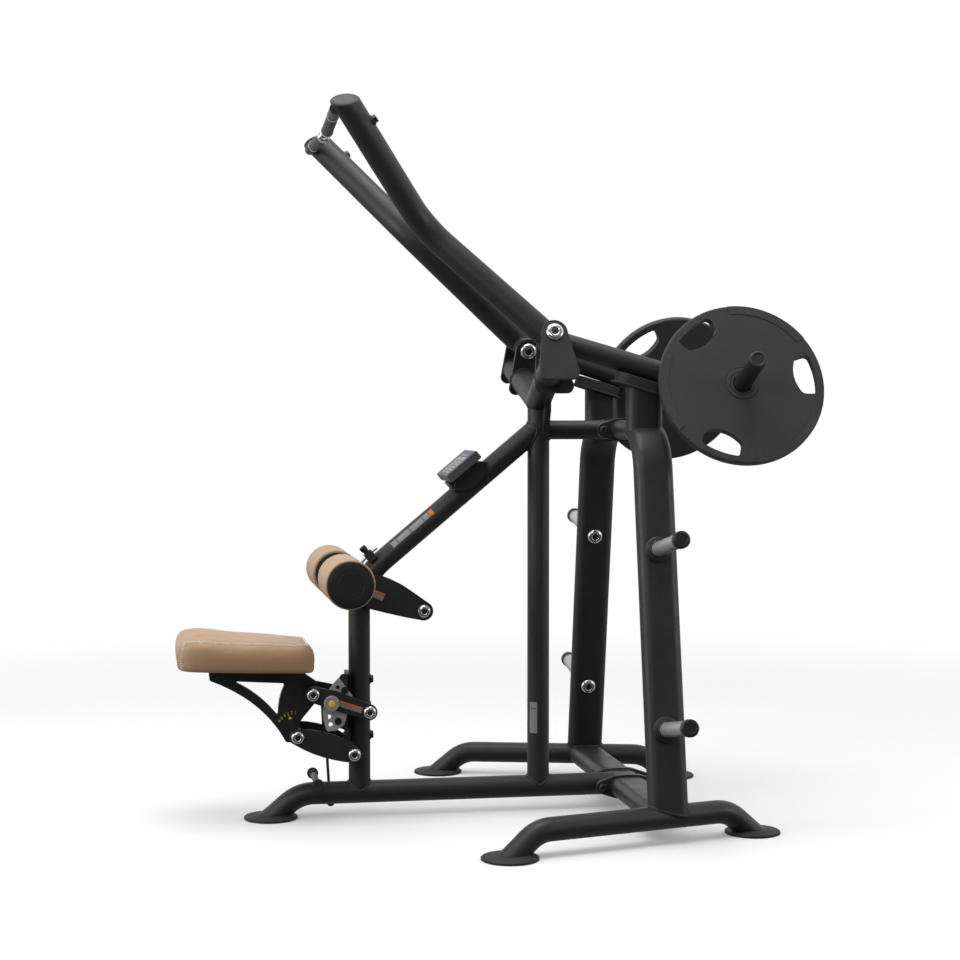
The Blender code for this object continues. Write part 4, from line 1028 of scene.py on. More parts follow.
# ------------------------------------------------------------ seat and its linkage
def seat_base(x):
    """Height of the cushion's flat underside, which rises a little towards the back."""
    return 0.4262 + (-0.7 - x) * 0.056


def leaf(first, second, extra=()):
    return wrapped([(first[0], first[1], 0.0225), (second[0], second[1], 0.0225)] + list(extra), 64)


def curve(start, middle, end, steps):
    """Points on a parabolic curve pulled towards its middle point."""
    points = []
    for k in range(steps + 1):
        t = k / steps
        points.append(tuple((1 - t) ** 2 * a + 2 * t * (1 - t) * b + t * t * c
                            for a, b, c in zip(start, middle, end)))
    return points


def end_domes(name, at, half, radius, height, body):
    """Chrome heads over the two ends of a shaft along Y."""
    domes, plugs = [], []
    for sign in (-1, 1):
        dome, plug = head_solids(Vector((at[0], sign * half, at[1])), Vector((0, sign, 0)), radius, height)
        domes.append(dome)
        plugs.append(plug)
    show("%s_dome" % name, merged(*domes), CHROME, body, "chrome", sharp=60)
    show("%s_socket" % name, merged(*plugs), CAP, body, "black_paint", sharp=40)


def build_seat():
    bx, bz = SEAT_B
    back = block((-0.562, -0.04, 0.215), (FRONT_X - FRONT_R + 0.0015, 0.04, 0.415))
    wing = side_plate(filleted([(-0.603, 0.268), (-0.555, 0.25), (-0.555, 0.415), (-0.58, 0.415),
                                (-0.603, 0.37)], [0.008, 0, 0, 0.012, 0.012], 8), -0.0567, -0.0487)
    web = block((-0.562, -0.0567, 0.26), (-0.555, -0.039, 0.41))
    bolts = []
    for z in (0.392, 0.232):
        for low, high in ((-0.568, -0.561), (-0.4906, -0.483)):
            nut = [(0.0112, low), (0.0122, low + 0.001), (0.0122, high - 0.001), (0.0112, high)]
            bolts.append(turned(nut, (0, 0, z), (1, 0, 0), 6))
        bolts.append(turned([(0.014, -0.4925), (0.014, -0.49)], (0, 0, z), (1, 0, 0), 32))
    painted("seat_mount", [back, web, wing, *bolts], ["seat_mount_bracket"], 0.0008)
    for name, at in zip(("upper", "lower"), SECTOR_BOLTS):
        head = spun([(0.01, -0.0633), (0.0102, -0.064), (0.0102, -0.0672), (0.0094, -0.069),
                     (0.0052, -0.069), (0.0048, -0.066), (0.0, -0.066)], at, 40)
        show("sector_%s_screw" % name, head, CAP, "frame", "black_paint", ["sector_%s_bolt" % name], sharp=50)

    outer = arc(SEAT_B, 0.13, 180.0 - 49.0, 180.0 + 24.0, 40)
    corners = [(-0.595, 0.256), (-0.572, 0.272), (-0.549, 0.355)]
    radii = [0.003] + [0] * (len(outer) - 2) + [0.003, 0.005, 0.005, 0.005]
    outline = filleted(outer + corners, radii, 5)
    holes = []
    for k in range(6):
        angle = math.radians(38.7 - 11.16 * k)
        holes.append(rod(bx - 0.114 * math.cos(angle), bz + 0.114 * math.sin(angle), 0.0058, -0.1, 0.0, 36))
    sector = side_plate(outline, -0.063, -0.057)
    show("sector_blade", combined(sector, cut=holes), ZINC, "frame", "zinc", ["sector_plate"], 0.0005)

    lens = [(-0.672, 0.2325, 0.0305), (-0.647, 0.2245, 0.0337), (-0.62, 0.216, 0.035),
            (-0.593, 0.2065, 0.033), (-0.57, 0.1975, 0.029)]
    for name, at, far, extra in (("upper_link", SEAT_B, SEAT_A, [(-0.602, 0.344, 0.027)]),
                                 ("lower_link", SEAT_D, SEAT_C, lens)):
        body = "seat_" + name
        parts = [rod(*at, SHAFT_R, -LINK_OUT, LINK_OUT, 32)]
        for side in (-1, 1):
            parts.append(side_plate(leaf(at, far, extra), *between(side, LINK_IN, LINK_OUT)))
            parts.append(rod(*at, 0.015, *between(side, FRONT_R + 0.004, LINK_IN + 0.001), 32))
            parts.append(rod(*far, 0.016, *between(side, 0.031, LINK_IN + 0.001), 32))
        if name == "upper_link":
            parts.append(rod(*GAS_TOP, 0.0065, 0.0525, LINK_IN + 0.001, 24))
        painted(name + "_leaves", parts, [name], 0.001, body)
        end_domes(name + "_shaft", at, LINK_OUT - 0.0002, 0.0186, 0.0098, body)
    for name, at in (("upper", SEAT_A), ("lower", SEAT_C)):
        pin("%s_seat_pin" % name, (at[0], 0, at[1]), (0, 1, 0), SHAFT_R, 0.0186, LINK_OUT + GAP, 0.0096,
            "seat_carriage", ["%s_seat_axle" % name])

    # pointer on the lower link, its tip over the numbered arc
    far = SEAT_C
    arm = side_plate(wrapped([(far[0], far[1], 0.014), (far[0] - 0.016, far[1] + 0.044, 0.006)], 32),
                     -0.0355, -0.031)
    painted("pointer_arm", [arm], bevel=0.0006, body="seat_lower_link")
    tip = side_plate(filleted([(far[0] - 0.0225, far[1] + 0.044), (far[0] - 0.0105, far[1] + 0.048),
                               (far[0] - 0.0205, far[1] + 0.0545)], [0.001, 0.001, 0.001]), -0.0359, -0.0354)
    show("pointer_tip", tip, YELLOW, "seat_lower_link", "black_paint")

    under = curve((-0.947, 0.398), (-0.797, 0.34), (-0.733, 0.218), 18)
    corners = [(-0.951, 0.4345)] + under + [(-0.689, 0.215), (-0.699, 0.27), (-0.638, 0.342),
                                             (-0.64, 0.385), (-0.69, 0.42)]
    outline = filleted(corners, [0, 0.007] + [0] * 17 + [0.009, 0.018, 0.05, 0.02, 0.026, 0], 8)
    lower_side = curve((-0.88, 0.395), (-0.803, 0.358), (-0.755, 0.293), 14)
    right_side = curve((-0.755, 0.293), (-0.756, 0.345), (-0.7345, 0.386), 8)
    hole = filleted(lower_side + right_side[1:], [0.002] + [0] * 13 + [0.003] + [0] * 7 + [0.006], 8)
    plate = combined(side_plate(outline, -0.012, 0.012), cut=[side_plate(hole, -0.05, 0.05)])
    top = side_plate([(-0.95, seat_base(-0.95) - 0.0075), (-0.7, seat_base(-0.7) - 0.0075),
                      (-0.7, seat_base(-0.7) - GAP), (-0.95, seat_base(-0.95) - GAP)], -0.06, 0.06)
    bosses = [rod(*at, 0.018, -0.0304, 0.0304, 40) for at in (SEAT_A, SEAT_C)]
    screws = []
    for x in (-0.925, -0.725):
        for y in (-0.045, 0.045):
            under = seat_base(x) - 0.007
            screws.append(turned([(0.0065, under), (0.0065, under - 0.0045), (0.0052, under - 0.0055),
                                  (0.0, under - 0.0055)], (x, y, 0), (0, 0, 1), 6))
    painted("seat_frame", [plate, top, *bosses, *screws], ["seat_bracket"], 0.0011, "seat_carriage")

    # numbers 6 to 1 on an arc about the lower pin
    curves = []
    for k in range(6):
        angle = math.radians(141.0 - 10.0 * k)
        text = bpy.data.curves.new("digit", "FONT")
        text.body = str(6 - k)
        text.size = 0.0132
        text.extrude = 0.00015
        text.align_x = "CENTER"
        text.align_y = "CENTER"
        obj = placed("digit", text)
        place = Vector((SEAT_C[0] + 0.061 * math.cos(angle), -0.0122, SEAT_C[1] + 0.061 * math.sin(angle)))
        upright = Matrix.Rotation(math.radians(90), 4, "X")
        obj.matrix_world = Matrix.Translation(place) @ upright @ Matrix.Rotation(angle - math.pi / 2, 4, "Z")
        curves.append(obj)
    bpy.context.view_layer.update()
    digits = bmesh.new()
    for obj in curves:
        mesh = bpy.data.meshes.new_from_object(obj.evaluated_get(bpy.context.evaluated_depsgraph_get()))
        mesh.transform(obj.matrix_world)
        digits.from_mesh(mesh)
        bpy.data.meshes.remove(mesh)
        bpy.data.objects.remove(obj)
    show("height_numbers", digits, YELLOW, "seat_carriage", "black_paint")

    # knurled selector knob with a yellow centre
    bm = bmesh.new()
    profile = [(0.0046, -0.064), (0.0046, -0.0794), (0.011, -0.0796), (0.0112, -0.085), (0.02, -0.087),
               (0.0217, -0.0885), (0.0221, -0.09), (0.0221, -0.0975), (0.0215, -0.0992), (0.0203, -0.1003),
               (0.0104, -0.1003), (0.0098, -0.0996)]
    rings = []
    for radius, height in profile:
        loop = []
        for i in range(144):
            turn = 2 * math.pi * i / 144
            cut = 0.0005 * (i % 4 in (0, 1)) if radius > 0.0205 else 0.0
            loop.append(bm.verts.new((KNOB_X + (radius - cut) * math.cos(turn), height,
                                      KNOB_Z + (radius - cut) * math.sin(turn))))
        rings.append(loop)
    show("selector_body", bridge(bm, rings), STEEL, "selector", "zinc", ["selector_knob"], sharp=40)
    centre = spun([(0.0096, -0.099), (0.0096, -0.1006), (0.009, -0.101), (0.0, -0.101)],
                  (KNOB_X, KNOB_Z), 48)
    show("selector_centre", centre, YELLOW, "selector", "zinc", sharp=40)

    # gas spring
    foot_pin = Vector((GAS_FOOT[0], 0.0465, GAS_FOOT[1]))
    top_pin = Vector((GAS_TOP[0], 0.0465, GAS_TOP[1]))
    along = (top_pin - foot_pin).normalized()
    length = (top_pin - foot_pin).length
    eye = rod(foot_pin.x, foot_pin.z, 0.009, 0.041, 0.052, 32)
    shank = turned([(0.004, 0.006), (0.004, 0.22)], foot_pin, along, 32)
    stub = rod(foot_pin.x, foot_pin.z, 0.0037, 0.015, 0.054, 24)
    show("spring_rod", merged(shank, eye, stub), CAP, "gas_rod", "chrome", ["gas_spring_rod"], 0.0006)
    barrel = turned([(0.006, 0.157), (0.0088, 0.157), (0.0095, 0.1585), (0.0095, length - 0.018),
                     (0.0088, length - 0.0155), (0.006, length - 0.014), (0.006, length - 0.004)],
                    foot_pin, along, 40)
    ball = rod(top_pin.x, top_pin.z, 0.01, 0.041, 0.052, 32)
    show("spring_barrel", merged(barrel, ball), CAP, "gas_cylinder", "black_paint", ["gas_spring_cylinder"],
         0.0006, sharp=50)

    # band peg: grey bar between rubber ends
    at = (-0.649, 0.1085)
    show("peg_bar", rod(*at, 0.0092, -0.0855, 0.0855, 32), GRIP, "frame", "black_paint", ["band_peg"])
    for label, sign in (("near", -1), ("far", 1)):
        end = [(0.0079, 0.062), (0.0118, 0.0622), (0.0122, 0.064), (0.0122, 0.0838), (0.0155, 0.0842),
               (0.0162, 0.0855), (0.0162, 0.0938), (0.0152, 0.095), (0.007, 0.095), (0.0064, 0.0935),
               (0.0, 0.0935)]
        show("peg_%s_end" % label, spun([(r, h * sign) for r, h in end], at, 40), RUBBER, "frame",
             "black_paint", sharp=50)


# ------------------------------------------------------------ upholstery
def plan_outline(pitch=0.0045):
    """Cushion's outline seen from above, evenly spaced, anticlockwise."""
    half = [(-1.04, -0.174), (-0.96, -0.1745), (-0.82, -0.151), (-0.658, -0.116)]
    radii = [0.05, 0.1, 0.3, 0.042]
    coarse = filleted(half + [(x, -y) for x, y in half[::-1]], radii + radii[::-1], 10)
    points = [Vector(p) for p in coarse]
    total = sum((points[i] - points[i - 1]).length for i in range(len(points)))
    count = int(total / pitch / 2) * 2
    return evenly(points, count, total / count)


def smooth_step(low, high, value):
    t = min(1.0, max(0.0, (value - low) / (high - low)))
    return t * t * (3 - 2 * t)


def cushion_top(x):
    """Height of the seat's middle line: raised at the back, easing down to the front."""
    back = 0.5425 - 0.0205 * smooth_step(-1.01, -0.82, x)
    front = 0.012 * smooth_step(-0.86, -0.67, x)
    return back - front


def cushion_levels(shrink=0.0):
    """Rings of the cover from the underside to the seam, then over the top to the middle line."""
    outline = plan_outline()
    count = len(outline)
    normals = []
    for i in range(count):
        edge = outline[(i + 1) % count] - outline[i - 1]
        normals.append(Vector((-edge.y, edge.x)).normalized())
    rings = []
    # inset of each ring, its height over the underside or the crease, and its share of the way between them
    stations = ((0.06, 0.0, 0), (0.022, 0.0, 0), (0.008, 0.001, 0), (0.002, 0.0045, 0), (0.0, 0.011, 0),
                (-0.001, 0.0, 0.3), (-0.0015, 0.0, 0.55), (-0.0005, 0.0, 0.8), (0.0012, 0.0, 1.0),
                (0.005, 0.0095, 1), (0.011, 0.0165, 1), (0.018, 0.0215, 1))
    for inset, level, share in stations:
        ring_points = []
        for point, normal in zip(outline, normals):
            at = point + normal * (inset + shrink)
            low = seat_base(at.x)
            crease = cushion_top(at.x) - 0.027 - 0.01 * (1 - smooth_step(-1.0, -0.8, at.x))
            if share == 0:
                height = low + level
            elif level == 0:
                height = low + 0.011 + (crease - low - 0.011) * share
            else:
                height = crease + level
            ring_points.append(Vector((at.x, at.y, height)))
        rings.append(ring_points)
    seam = rings[-1]
    for k in range(1, 17):
        share = k / 17
        ring_points = []
        for point in seam:
            middle = Vector((min(-0.77, max(-0.95, point.x)), 0.0))
            at = Vector((point.x, point.y)).lerp(middle, share)
            rise = 1 - (1 - share) ** 2.2
            top = cushion_top(at.x)
            ring_points.append(Vector((at.x, at.y, point.z + (top - point.z) * rise)))
        rings.append(ring_points)
    return rings


def cushion_mesh():
    bm = bmesh.new()
    rings = [[bm.verts.new(p) for p in ring_points] for ring_points in cushion_levels(0.0012)]
    bridge(bm, rings, closed_ends=False)
    count = len(rings[0])
    low_middle = bm.verts.new((-0.85, 0.0, seat_base(-0.85)))
    high_middle = [bm.verts.new((x, 0.0, cushion_top(x))) for x in (-0.95, -0.86, -0.77)]
    for i in range(count):
        bm.faces.new((rings[0][(i + 1) % count], rings[0][i], low_middle))
    for i in range(count):
        first, second = rings[-1][i], rings[-1][(i + 1) % count]
        nearest = min(high_middle, key=lambda v: abs(v.co.x - (first.co.x + second.co.x) / 2))
        bm.faces.new((first, second, nearest))
    bmesh.ops.holes_fill(bm, edges=[e for e in bm.edges if len(e.link_faces) == 1], sides=0)
    bmesh.ops.recalc_face_normals(bm, faces=bm.faces)
    return bm


def inflate(obj, voxel=0.0042, pressure=1.2, cap=0.0018):
    """Puff the cover by a short cloth run, keeping each point near where it started."""
    remesh = obj.modifiers.new("voxel", "REMESH")
    remesh.mode = "VOXEL"
    remesh.voxel_size = voxel
    bake(obj)
    start = [v.co.copy() for v in obj.data.vertices]
    group = obj.vertex_groups.new(name="held")
    for v in obj.data.vertices:
        if v.co.z < seat_base(v.co.x) + 0.005:
            group.add([v.index], 1.0, "REPLACE")
    cloth = obj.modifiers.new("cloth", "CLOTH")
    cloth.settings.use_pressure = True
    cloth.settings.uniform_pressure_force = pressure
    cloth.settings.quality = 5
    cloth.settings.mass = 0.3
    cloth.settings.tension_stiffness = 30
    cloth.settings.compression_stiffness = 30
    cloth.settings.bending_stiffness = 3
    cloth.settings.vertex_group_mass = "held"
    cloth.settings.effector_weights.gravity = 0.0
    cloth.point_cache.frame_start = 1
    cloth.point_cache.frame_end = 16
    for step in range(1, 15):
        bpy.context.scene.frame_set(step)
    bake(obj)
    bpy.context.scene.frame_set(1)
    for v, home in zip(obj.data.vertices, start):
        move = v.co - home
        if move.length > cap:
            v.co = home + move.normalized() * cap


def bake(obj):
    """Apply every modifier to the mesh."""
    evaluated = obj.evaluated_get(bpy.context.evaluated_depsgraph_get())
    mesh = bpy.data.meshes.new_from_object(evaluated)
    for modifier in list(obj.modifiers):
        obj.modifiers.remove(modifier)
    old = obj.data
    obj.data = mesh
    bpy.data.meshes.remove(old)


def seam_paths():
    """Sewn lines: round the near side, front and far side, and down the two back corners."""
    rings = cushion_levels()
    seam = rings[11]
    count = len(seam)
    near = min((i for i in range(count) if seam[i].y < 0), key=lambda i: seam[i].x + seam[i].y * 0.9)
    far = min((i for i in range(count) if seam[i].y > 0), key=lambda i: seam[i].x - seam[i].y * 0.9)
    if near < far:
        top = [seam[i] for i in range(near, far + 1)]
    else:
        top = [seam[i % count] for i in range(near, far + count + 1)]
    if sum(p.x for p in top) / len(top) < -0.85 and len(top) < count / 2:
        top = [seam[i % count] for i in range(far, near + (count if near < far else 0) + 1)]
    drops = []
    for i in (near, far):
        drops.append([rings[k][i] for k in range(11, 2, -1)])
    return top, drops


def walk(points, pitch):
    """Evenly spaced points and directions along a line."""
    result, left = [], pitch / 2
    for first, second in zip(points, points[1:]):
        length = (second - first).length
        while left < length:
            result.append((first.lerp(second, left / length), (second - first).normalized()))
            left += pitch
        left -= length
    return result


def build_cushion():
    mesh = bpy.data.meshes.new("seat_cover")
    bm = cushion_mesh()
    bm.to_mesh(mesh)
    bm.free()
    cover = placed("seat_cover", mesh)
    inflate(cover)
    tops, drops = seam_paths()
    bm = bmesh.new()
    bm.from_mesh(cover.data)
    bmesh.ops.smooth_vert(bm, verts=bm.verts, factor=0.35, use_axis_x=True, use_axis_y=True,
                          use_axis_z=True)
    tree = BVHTree.FromBMesh(bm)
    sewn = [[tree.find_nearest(point)[0] for point in line] for line in [tops] + drops]
    dense = [p for line in sewn for p, _ in walk(line, 0.0015)]
    finder = KDTree(len(dense))
    for i, p in enumerate(dense):
        finder.insert(p, i)
    finder.balance()
    bmesh.ops.recalc_face_normals(bm, faces=bm.faces)
    bm.normal_update()
    subdivide_near(bm, finder)
    bm.normal_update()
    for v in bm.verts:
        _, _, gap = finder.find(v.co)
        if gap < 0.01:
            v.co -= v.normal * 0.0016 * math.exp(-(gap / 0.0022) ** 2)
        soft = noise.noise(v.co * 17.0) + 0.5 * noise.noise(v.co * 41.0)
        if v.co.z > seat_base(v.co.x) + 0.01:
            v.co += v.normal * 0.0006 * soft
    tree = BVHTree.FromBMesh(bm)
    cover_mesh = bpy.data.meshes.new("seat_cover")
    bm.to_mesh(cover_mesh)
    bm.free()
    cover_mesh.transform(Matrix.Translation((SHIFT_X, 0, 0)))
    old = cover.data
    cover.data = cover_mesh
    bpy.data.meshes.remove(old)
    cover_mesh.shade_smooth()
    cover_mesh.materials.append(VINYL)
    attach(cover, "seat_carriage")
    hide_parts("seat_cushion")

    stitches = bmesh.new()
    for line in sewn:
        for offset in (-0.0026, 0.0026):
            for place, along in walk(line, 0.0068):
                surface, normal, _, _ = tree.find_nearest(place)
                across = normal.cross(along).normalized()
                middle, normal, _, _ = tree.find_nearest(surface + across * offset)
                stitch(stitches, middle + normal * 0.0003, along, normal, 0.0052, 0.00145)
    show("seat_stitching", stitches, THREAD, "seat_carriage", "tan_vinyl", sharp=180)


def subdivide_near(bm, finder):
    """Finer mesh along the sewn lines, for the groove."""
    edges = [e for e in bm.edges if finder.find((e.verts[0].co + e.verts[1].co) / 2)[2] < 0.011]
    bmesh.ops.subdivide_edges(bm, edges=edges, cuts=1, use_grid_fill=True)
    bmesh.ops.triangulate(bm, faces=[f for f in bm.faces if len(f.verts) > 4])


def stitch(bm, middle, along, normal, length, radius):
    """One thread loop: a short bar bowed off the surface."""
    across = normal.cross(along).normalized()
    rings = []
    for k in range(5):
        share = k / 4 - 0.5
        size = radius * (1.0 if abs(share) < 0.4 else 0.55)
        bow = radius * 0.9 * math.cos(share * math.pi) - 0.0003
        centre = middle + along * share * length + normal * bow
        rings.append([bm.verts.new(centre + (across * a + normal * b) * size) for a, b in circle(1.0, 6)])
    for first, second in zip(rings, rings[1:]):
        for j in range(6):
            bm.faces.new((first[j], first[(j + 1) % 6], second[(j + 1) % 6], second[j]))
    bm.faces.new(rings[0][::-1])
    bm.faces.new(rings[-1])


# ------------------------------------------------------------ thigh roller lever
def polar(angle, radius):
    turn = math.radians(angle)
    return LEVER_PIN[0] + radius * math.cos(turn), LEVER_PIN[1] + radius * math.sin(turn)


def build_lever():
    px, pz = LEVER_PIN
    rx, rz = ROLLER_PIN
    outline = wrapped([(px, pz, 0.027), (-0.392, 0.6095, 0.0385), (-0.415, 0.62, 0.043),
                       (-0.446, 0.6315, 0.047), (-0.478, 0.642, 0.049), (rx, rz, 0.026)], 96)
    near = side_plate(outline, -LEAF_OUT, -LEAF_IN)
    far = side_plate(outline, LEAF_IN, LEAF_OUT)
    rod_x, rod_z = polar(155.0, ROD_ARC_R)
    web = side_plate(wrapped([(rx, rz, 0.02), (rod_x, rod_z, 0.0075)], 48), -LEAF_IN - 0.001,
                     LEAF_IN + 0.001)
    painted("lever_leaves", [web, near, far], ["thigh_lever"], 0.0011, "thigh_arm")
    pin("lever_pin", (px, 0, pz), (0, 1, 0), SHAFT_R, 0.0188, LEAF_OUT + GAP, 0.0096, "frame",
        ["thigh_lever_bolt"])

    half = 0.311
    solids = [rod(rx, rz, SHAFT_R, -half, half, 40)]
    cap = [(0.062, half - 0.0002), (0.0636, half + 0.0004), (0.0642, half + 0.0012), (0.064, half + 0.0024),
           (0.063, half + 0.0036), (0.0602, half + 0.0046), (0.04, half + 0.0049), (0.0368, half + 0.0049),
           (0.0362, half + 0.0043), (0.0352, half + 0.0043), (0.0346, half + 0.005), (0.0, half + 0.005)]
    inner = [(0.0105, 0.069), (0.058, 0.069), (0.0604, 0.0696), (0.061, 0.0706), (0.061, 0.0736),
             (0.06, 0.0743), (0.0105, 0.0743)]
    for sign in (-1, 1):
        solids.append(spun([(r, h * sign) for r, h in cap], ROLLER_PIN, 96))
        solids.append(ring([(r, h * sign) for r, h in inner], (rx, 0, rz), (0, 1, 0), 72))
    show("roller_spindle", merged(*solids), CAP, "thigh_arm", "black_rubber", ["roller_axle"], sharp=40)
    for name, side in SIDES:
        profile = [(SHAFT_R + GAP, 0.0752), (0.06, 0.0752), (0.064, 0.0756), (0.0662, 0.0768),
                   (0.0674, 0.0786), (0.0679, 0.0812), (ROLLER_R, 0.086)]
        profile += [(ROLLER_R, 0.086 + 0.0072 * k) for k in range(1, 31)]
        profile += [(0.0679, 0.3052), (0.0674, 0.3074), (0.0666, 0.309), (0.0656, 0.3101), (0.0648, 0.3105),
                    (0.064, 0.3107), (SHAFT_R + GAP, 0.3107)]
        bm = ring([(r, h * side) for r, h in profile], (rx, 0, rz), (0, 1, 0), 160)
        for v in bm.verts:
            radial = Vector((v.co.x - rx, 0, v.co.z - rz))
            if radial.length > 0.0655:
                soft = noise.noise(v.co * 24.0) + 0.6 * noise.noise(v.co * 60.0)
                ends = min(1.0, abs(abs(v.co.y) - 0.075) / 0.02, abs(abs(v.co.y) - 0.311) / 0.02)
                v.co += radial.normalized() * (0.00045 * soft - 0.0004) * ends
        pad = show("%s_roller_cover" % name, bm, VINYL, "%s_roller" % name, "tan_vinyl",
                   ["%s_thigh_roller" % name], sharp=50)

    path = []
    for k in range(37):
        x, z = polar(153.0 - 27.0 * k / 36, ROD_ARC_R)
        path.append((x, ROD_Y, z))
    show("curved_rod", sweep(circle(0.005, 24), path, (0, 1, 0)), CHROME, "thigh_arm", "chrome",
         ["adjuster_rod"], 0.0006)

    turn = math.radians(133.7)
    outward = Vector((math.cos(turn), 0, math.sin(turn)))
    tangent = Vector((math.sin(turn), 0, -math.cos(turn)))
    middle = Vector((px, ROD_Y, pz))
    outline = [(-0.0332, 0.204), (0.023, 0.204), (0.023, 0.216), (-0.009, 0.216), (-0.009, 0.2335),
               (-0.0332, 0.2335)]
    body = slab(outline, (px, 0, pz), (0, 1, 0), outward, -0.013, 0.013)
    guide = turned([(0.0058, -0.05), (0.0058, 0.05)], middle + outward * (ROD_ARC_R + 0.0002), tangent, 40)
    painted("pin_housing", [combined(body, cut=[guide])], ["thigh_pin_housing"], 0.0008)
    knob = turned([(0.0029, 0.231), (0.0029, 0.2338), (0.008, 0.2338), (0.0082, 0.2345), (0.0082, 0.2392),
                   (0.0094, 0.24), (0.01, 0.2414), (0.0102, 0.251), (0.0098, 0.2536), (0.0086, 0.255),
                   (0.0, 0.2553)], middle, outward, 48)
    show("pull_knob", knob, CAP, "thigh_pull_pin", "black_paint", ["thigh_pin"], sharp=40)


# ------------------------------------------------------------ instruction display and labels
def tag(name, box, origin, turn, mat, body):
    """Thin film with rounded corners, lying in an XZ plane with its length turned by an angle."""
    first = Vector((math.cos(turn), 0, math.sin(turn)))
    second = Vector((-math.sin(turn), 0, math.cos(turn)))
    outline = filleted(rect(*box), [0.001] * 4, 4)
    show(name, slab(outline, origin, first, second, 0.0, 0.0004), mat, body, "black_paint")


def build_display():
    along = Vector((math.cos(DIAG_ANGLE), 0, math.sin(DIAG_ANGLE)))
    raised = Vector((-math.sin(DIAG_ANGLE), 0, math.cos(DIAG_ANGLE)))
    axis_z = DIAG_Z - DIAG_X * math.tan(DIAG_ANGLE)
    base = Vector((0, 0, axis_z))
    middle = -0.203 / math.cos(DIAG_ANGLE) + 0.017
    half, width = 0.064, 0.03
    radius = (half * half + width * width) / (2 * width)
    spread = math.degrees(math.asin(half / radius))
    lens = arc((middle, 0.025 + width - radius), radius, 90 + spread, 90 - spread, 32)[:-1]
    lens += arc((middle, 0.025 - width + radius), radius, -90 + spread, -90 - spread, 32)[:-1]
    cheeks = [slab(lens, base, along, raised, *between(sign, 0.0345, 0.045)) for sign in (-1, 1)]
    rest = slab([(middle - 0.062, 0.02), (middle + 0.03, 0.02), (middle + 0.03, 0.045),
                 (middle - 0.062, 0.0517)], base, along, raised, -0.036, 0.036)
    show("display_cradle", merged(rest, *cheeks), CAP, "frame", "grey_plastic", ["display_saddle"], 0.001)
    box_low = 0.052
    case_low = 0.975 - axis_z + 0.285 * math.tan(DIAG_ANGLE)
    start = -0.285 / math.cos(DIAG_ANGLE) + case_low * math.sin(DIAG_ANGLE)
    case = slab(filleted([(start, box_low + GAP), (start + 0.112, box_low + GAP), (start + 0.112, 0.078),
                          (start, 0.078)], [0.004] * 4, 6), base, along, raised, -0.095, 0.095)
    show("display_case", case, PLASTIC, "frame", "grey_plastic", ["display_box"], 0.0025, segments=4)
    side = along.cross(raised)

    def face(name, u0, v0, u1, v1, mat, low, thick=0.0005):
        outline = filleted(rect(u0, v0, u1, v1), [0.0012] * 4, 4)
        corner = base + raised * (0.078 + low) + along * start
        show(name, slab(outline, corner, along, side * -1.0, -thick, 0.0), mat, "frame", "grey_plastic")

    face("display_panel", 0.006, -0.088, 0.106, 0.088, INK, 0.0004)
    face("display_band", 0.084, -0.06, 0.092, 0.03, BLUE, 0.0007)
    face("display_field", 0.012, -0.084, 0.079, -0.01, SILVER, 0.0007)
    face("display_card", 0.012, -0.004, 0.079, 0.05, SILVER, 0.0007)
    face("display_mark", 0.012, 0.056, 0.079, 0.084, GRIP, 0.0007)
    for k in range(5):
        low, high = 0.018 + 0.011 * k, 0.022 + 0.011 * k
        face("display_line_%d" % k, low, -0.078, high, -0.018 - 0.008 * (k % 2), INK, 0.0009, 0.0003)
        face("display_row_%d" % k, low, 0.002, high, 0.044 - 0.007 * (k % 3), INK, 0.0009, 0.0003)


def curved_tag(name, start, along, radius, facing, length, spread, mat, lift=0.0004, lead=0.0):
    """Film wrapped on a tube: facing is the direction of its middle, spread its half angle."""
    bm = bmesh.new()
    along = Vector(along).normalized()
    u = Vector(facing) - along * Vector(facing).dot(along)
    u.normalize()
    v = along.cross(u)
    turns = [math.radians(spread[0] + (spread[1] - spread[0]) * k / 16) for k in range(17)]
    rings = []
    for r in (radius + 0.00005, radius + lift):
        for s in (lead, lead + length):
            middle = Vector(start) + along * s
            rings.append([middle + (u * math.cos(a) + v * math.sin(a)) * r for a in turns])
    quad = [[bm.verts.new(p) for p in row] for row in (rings[0], rings[1], rings[3], rings[2])]
    for first, second in zip(quad, quad[1:] + quad[:1]):
        for k in range(16):
            bm.faces.new((first[k], first[k + 1], second[k + 1], second[k]))
    for k in (0, 16):
        bm.faces.new([row[k] for row in quad])
    bmesh.ops.recalc_face_normals(bm, faces=bm.faces)
    return show(name, bm, mat, "frame", "black_paint")


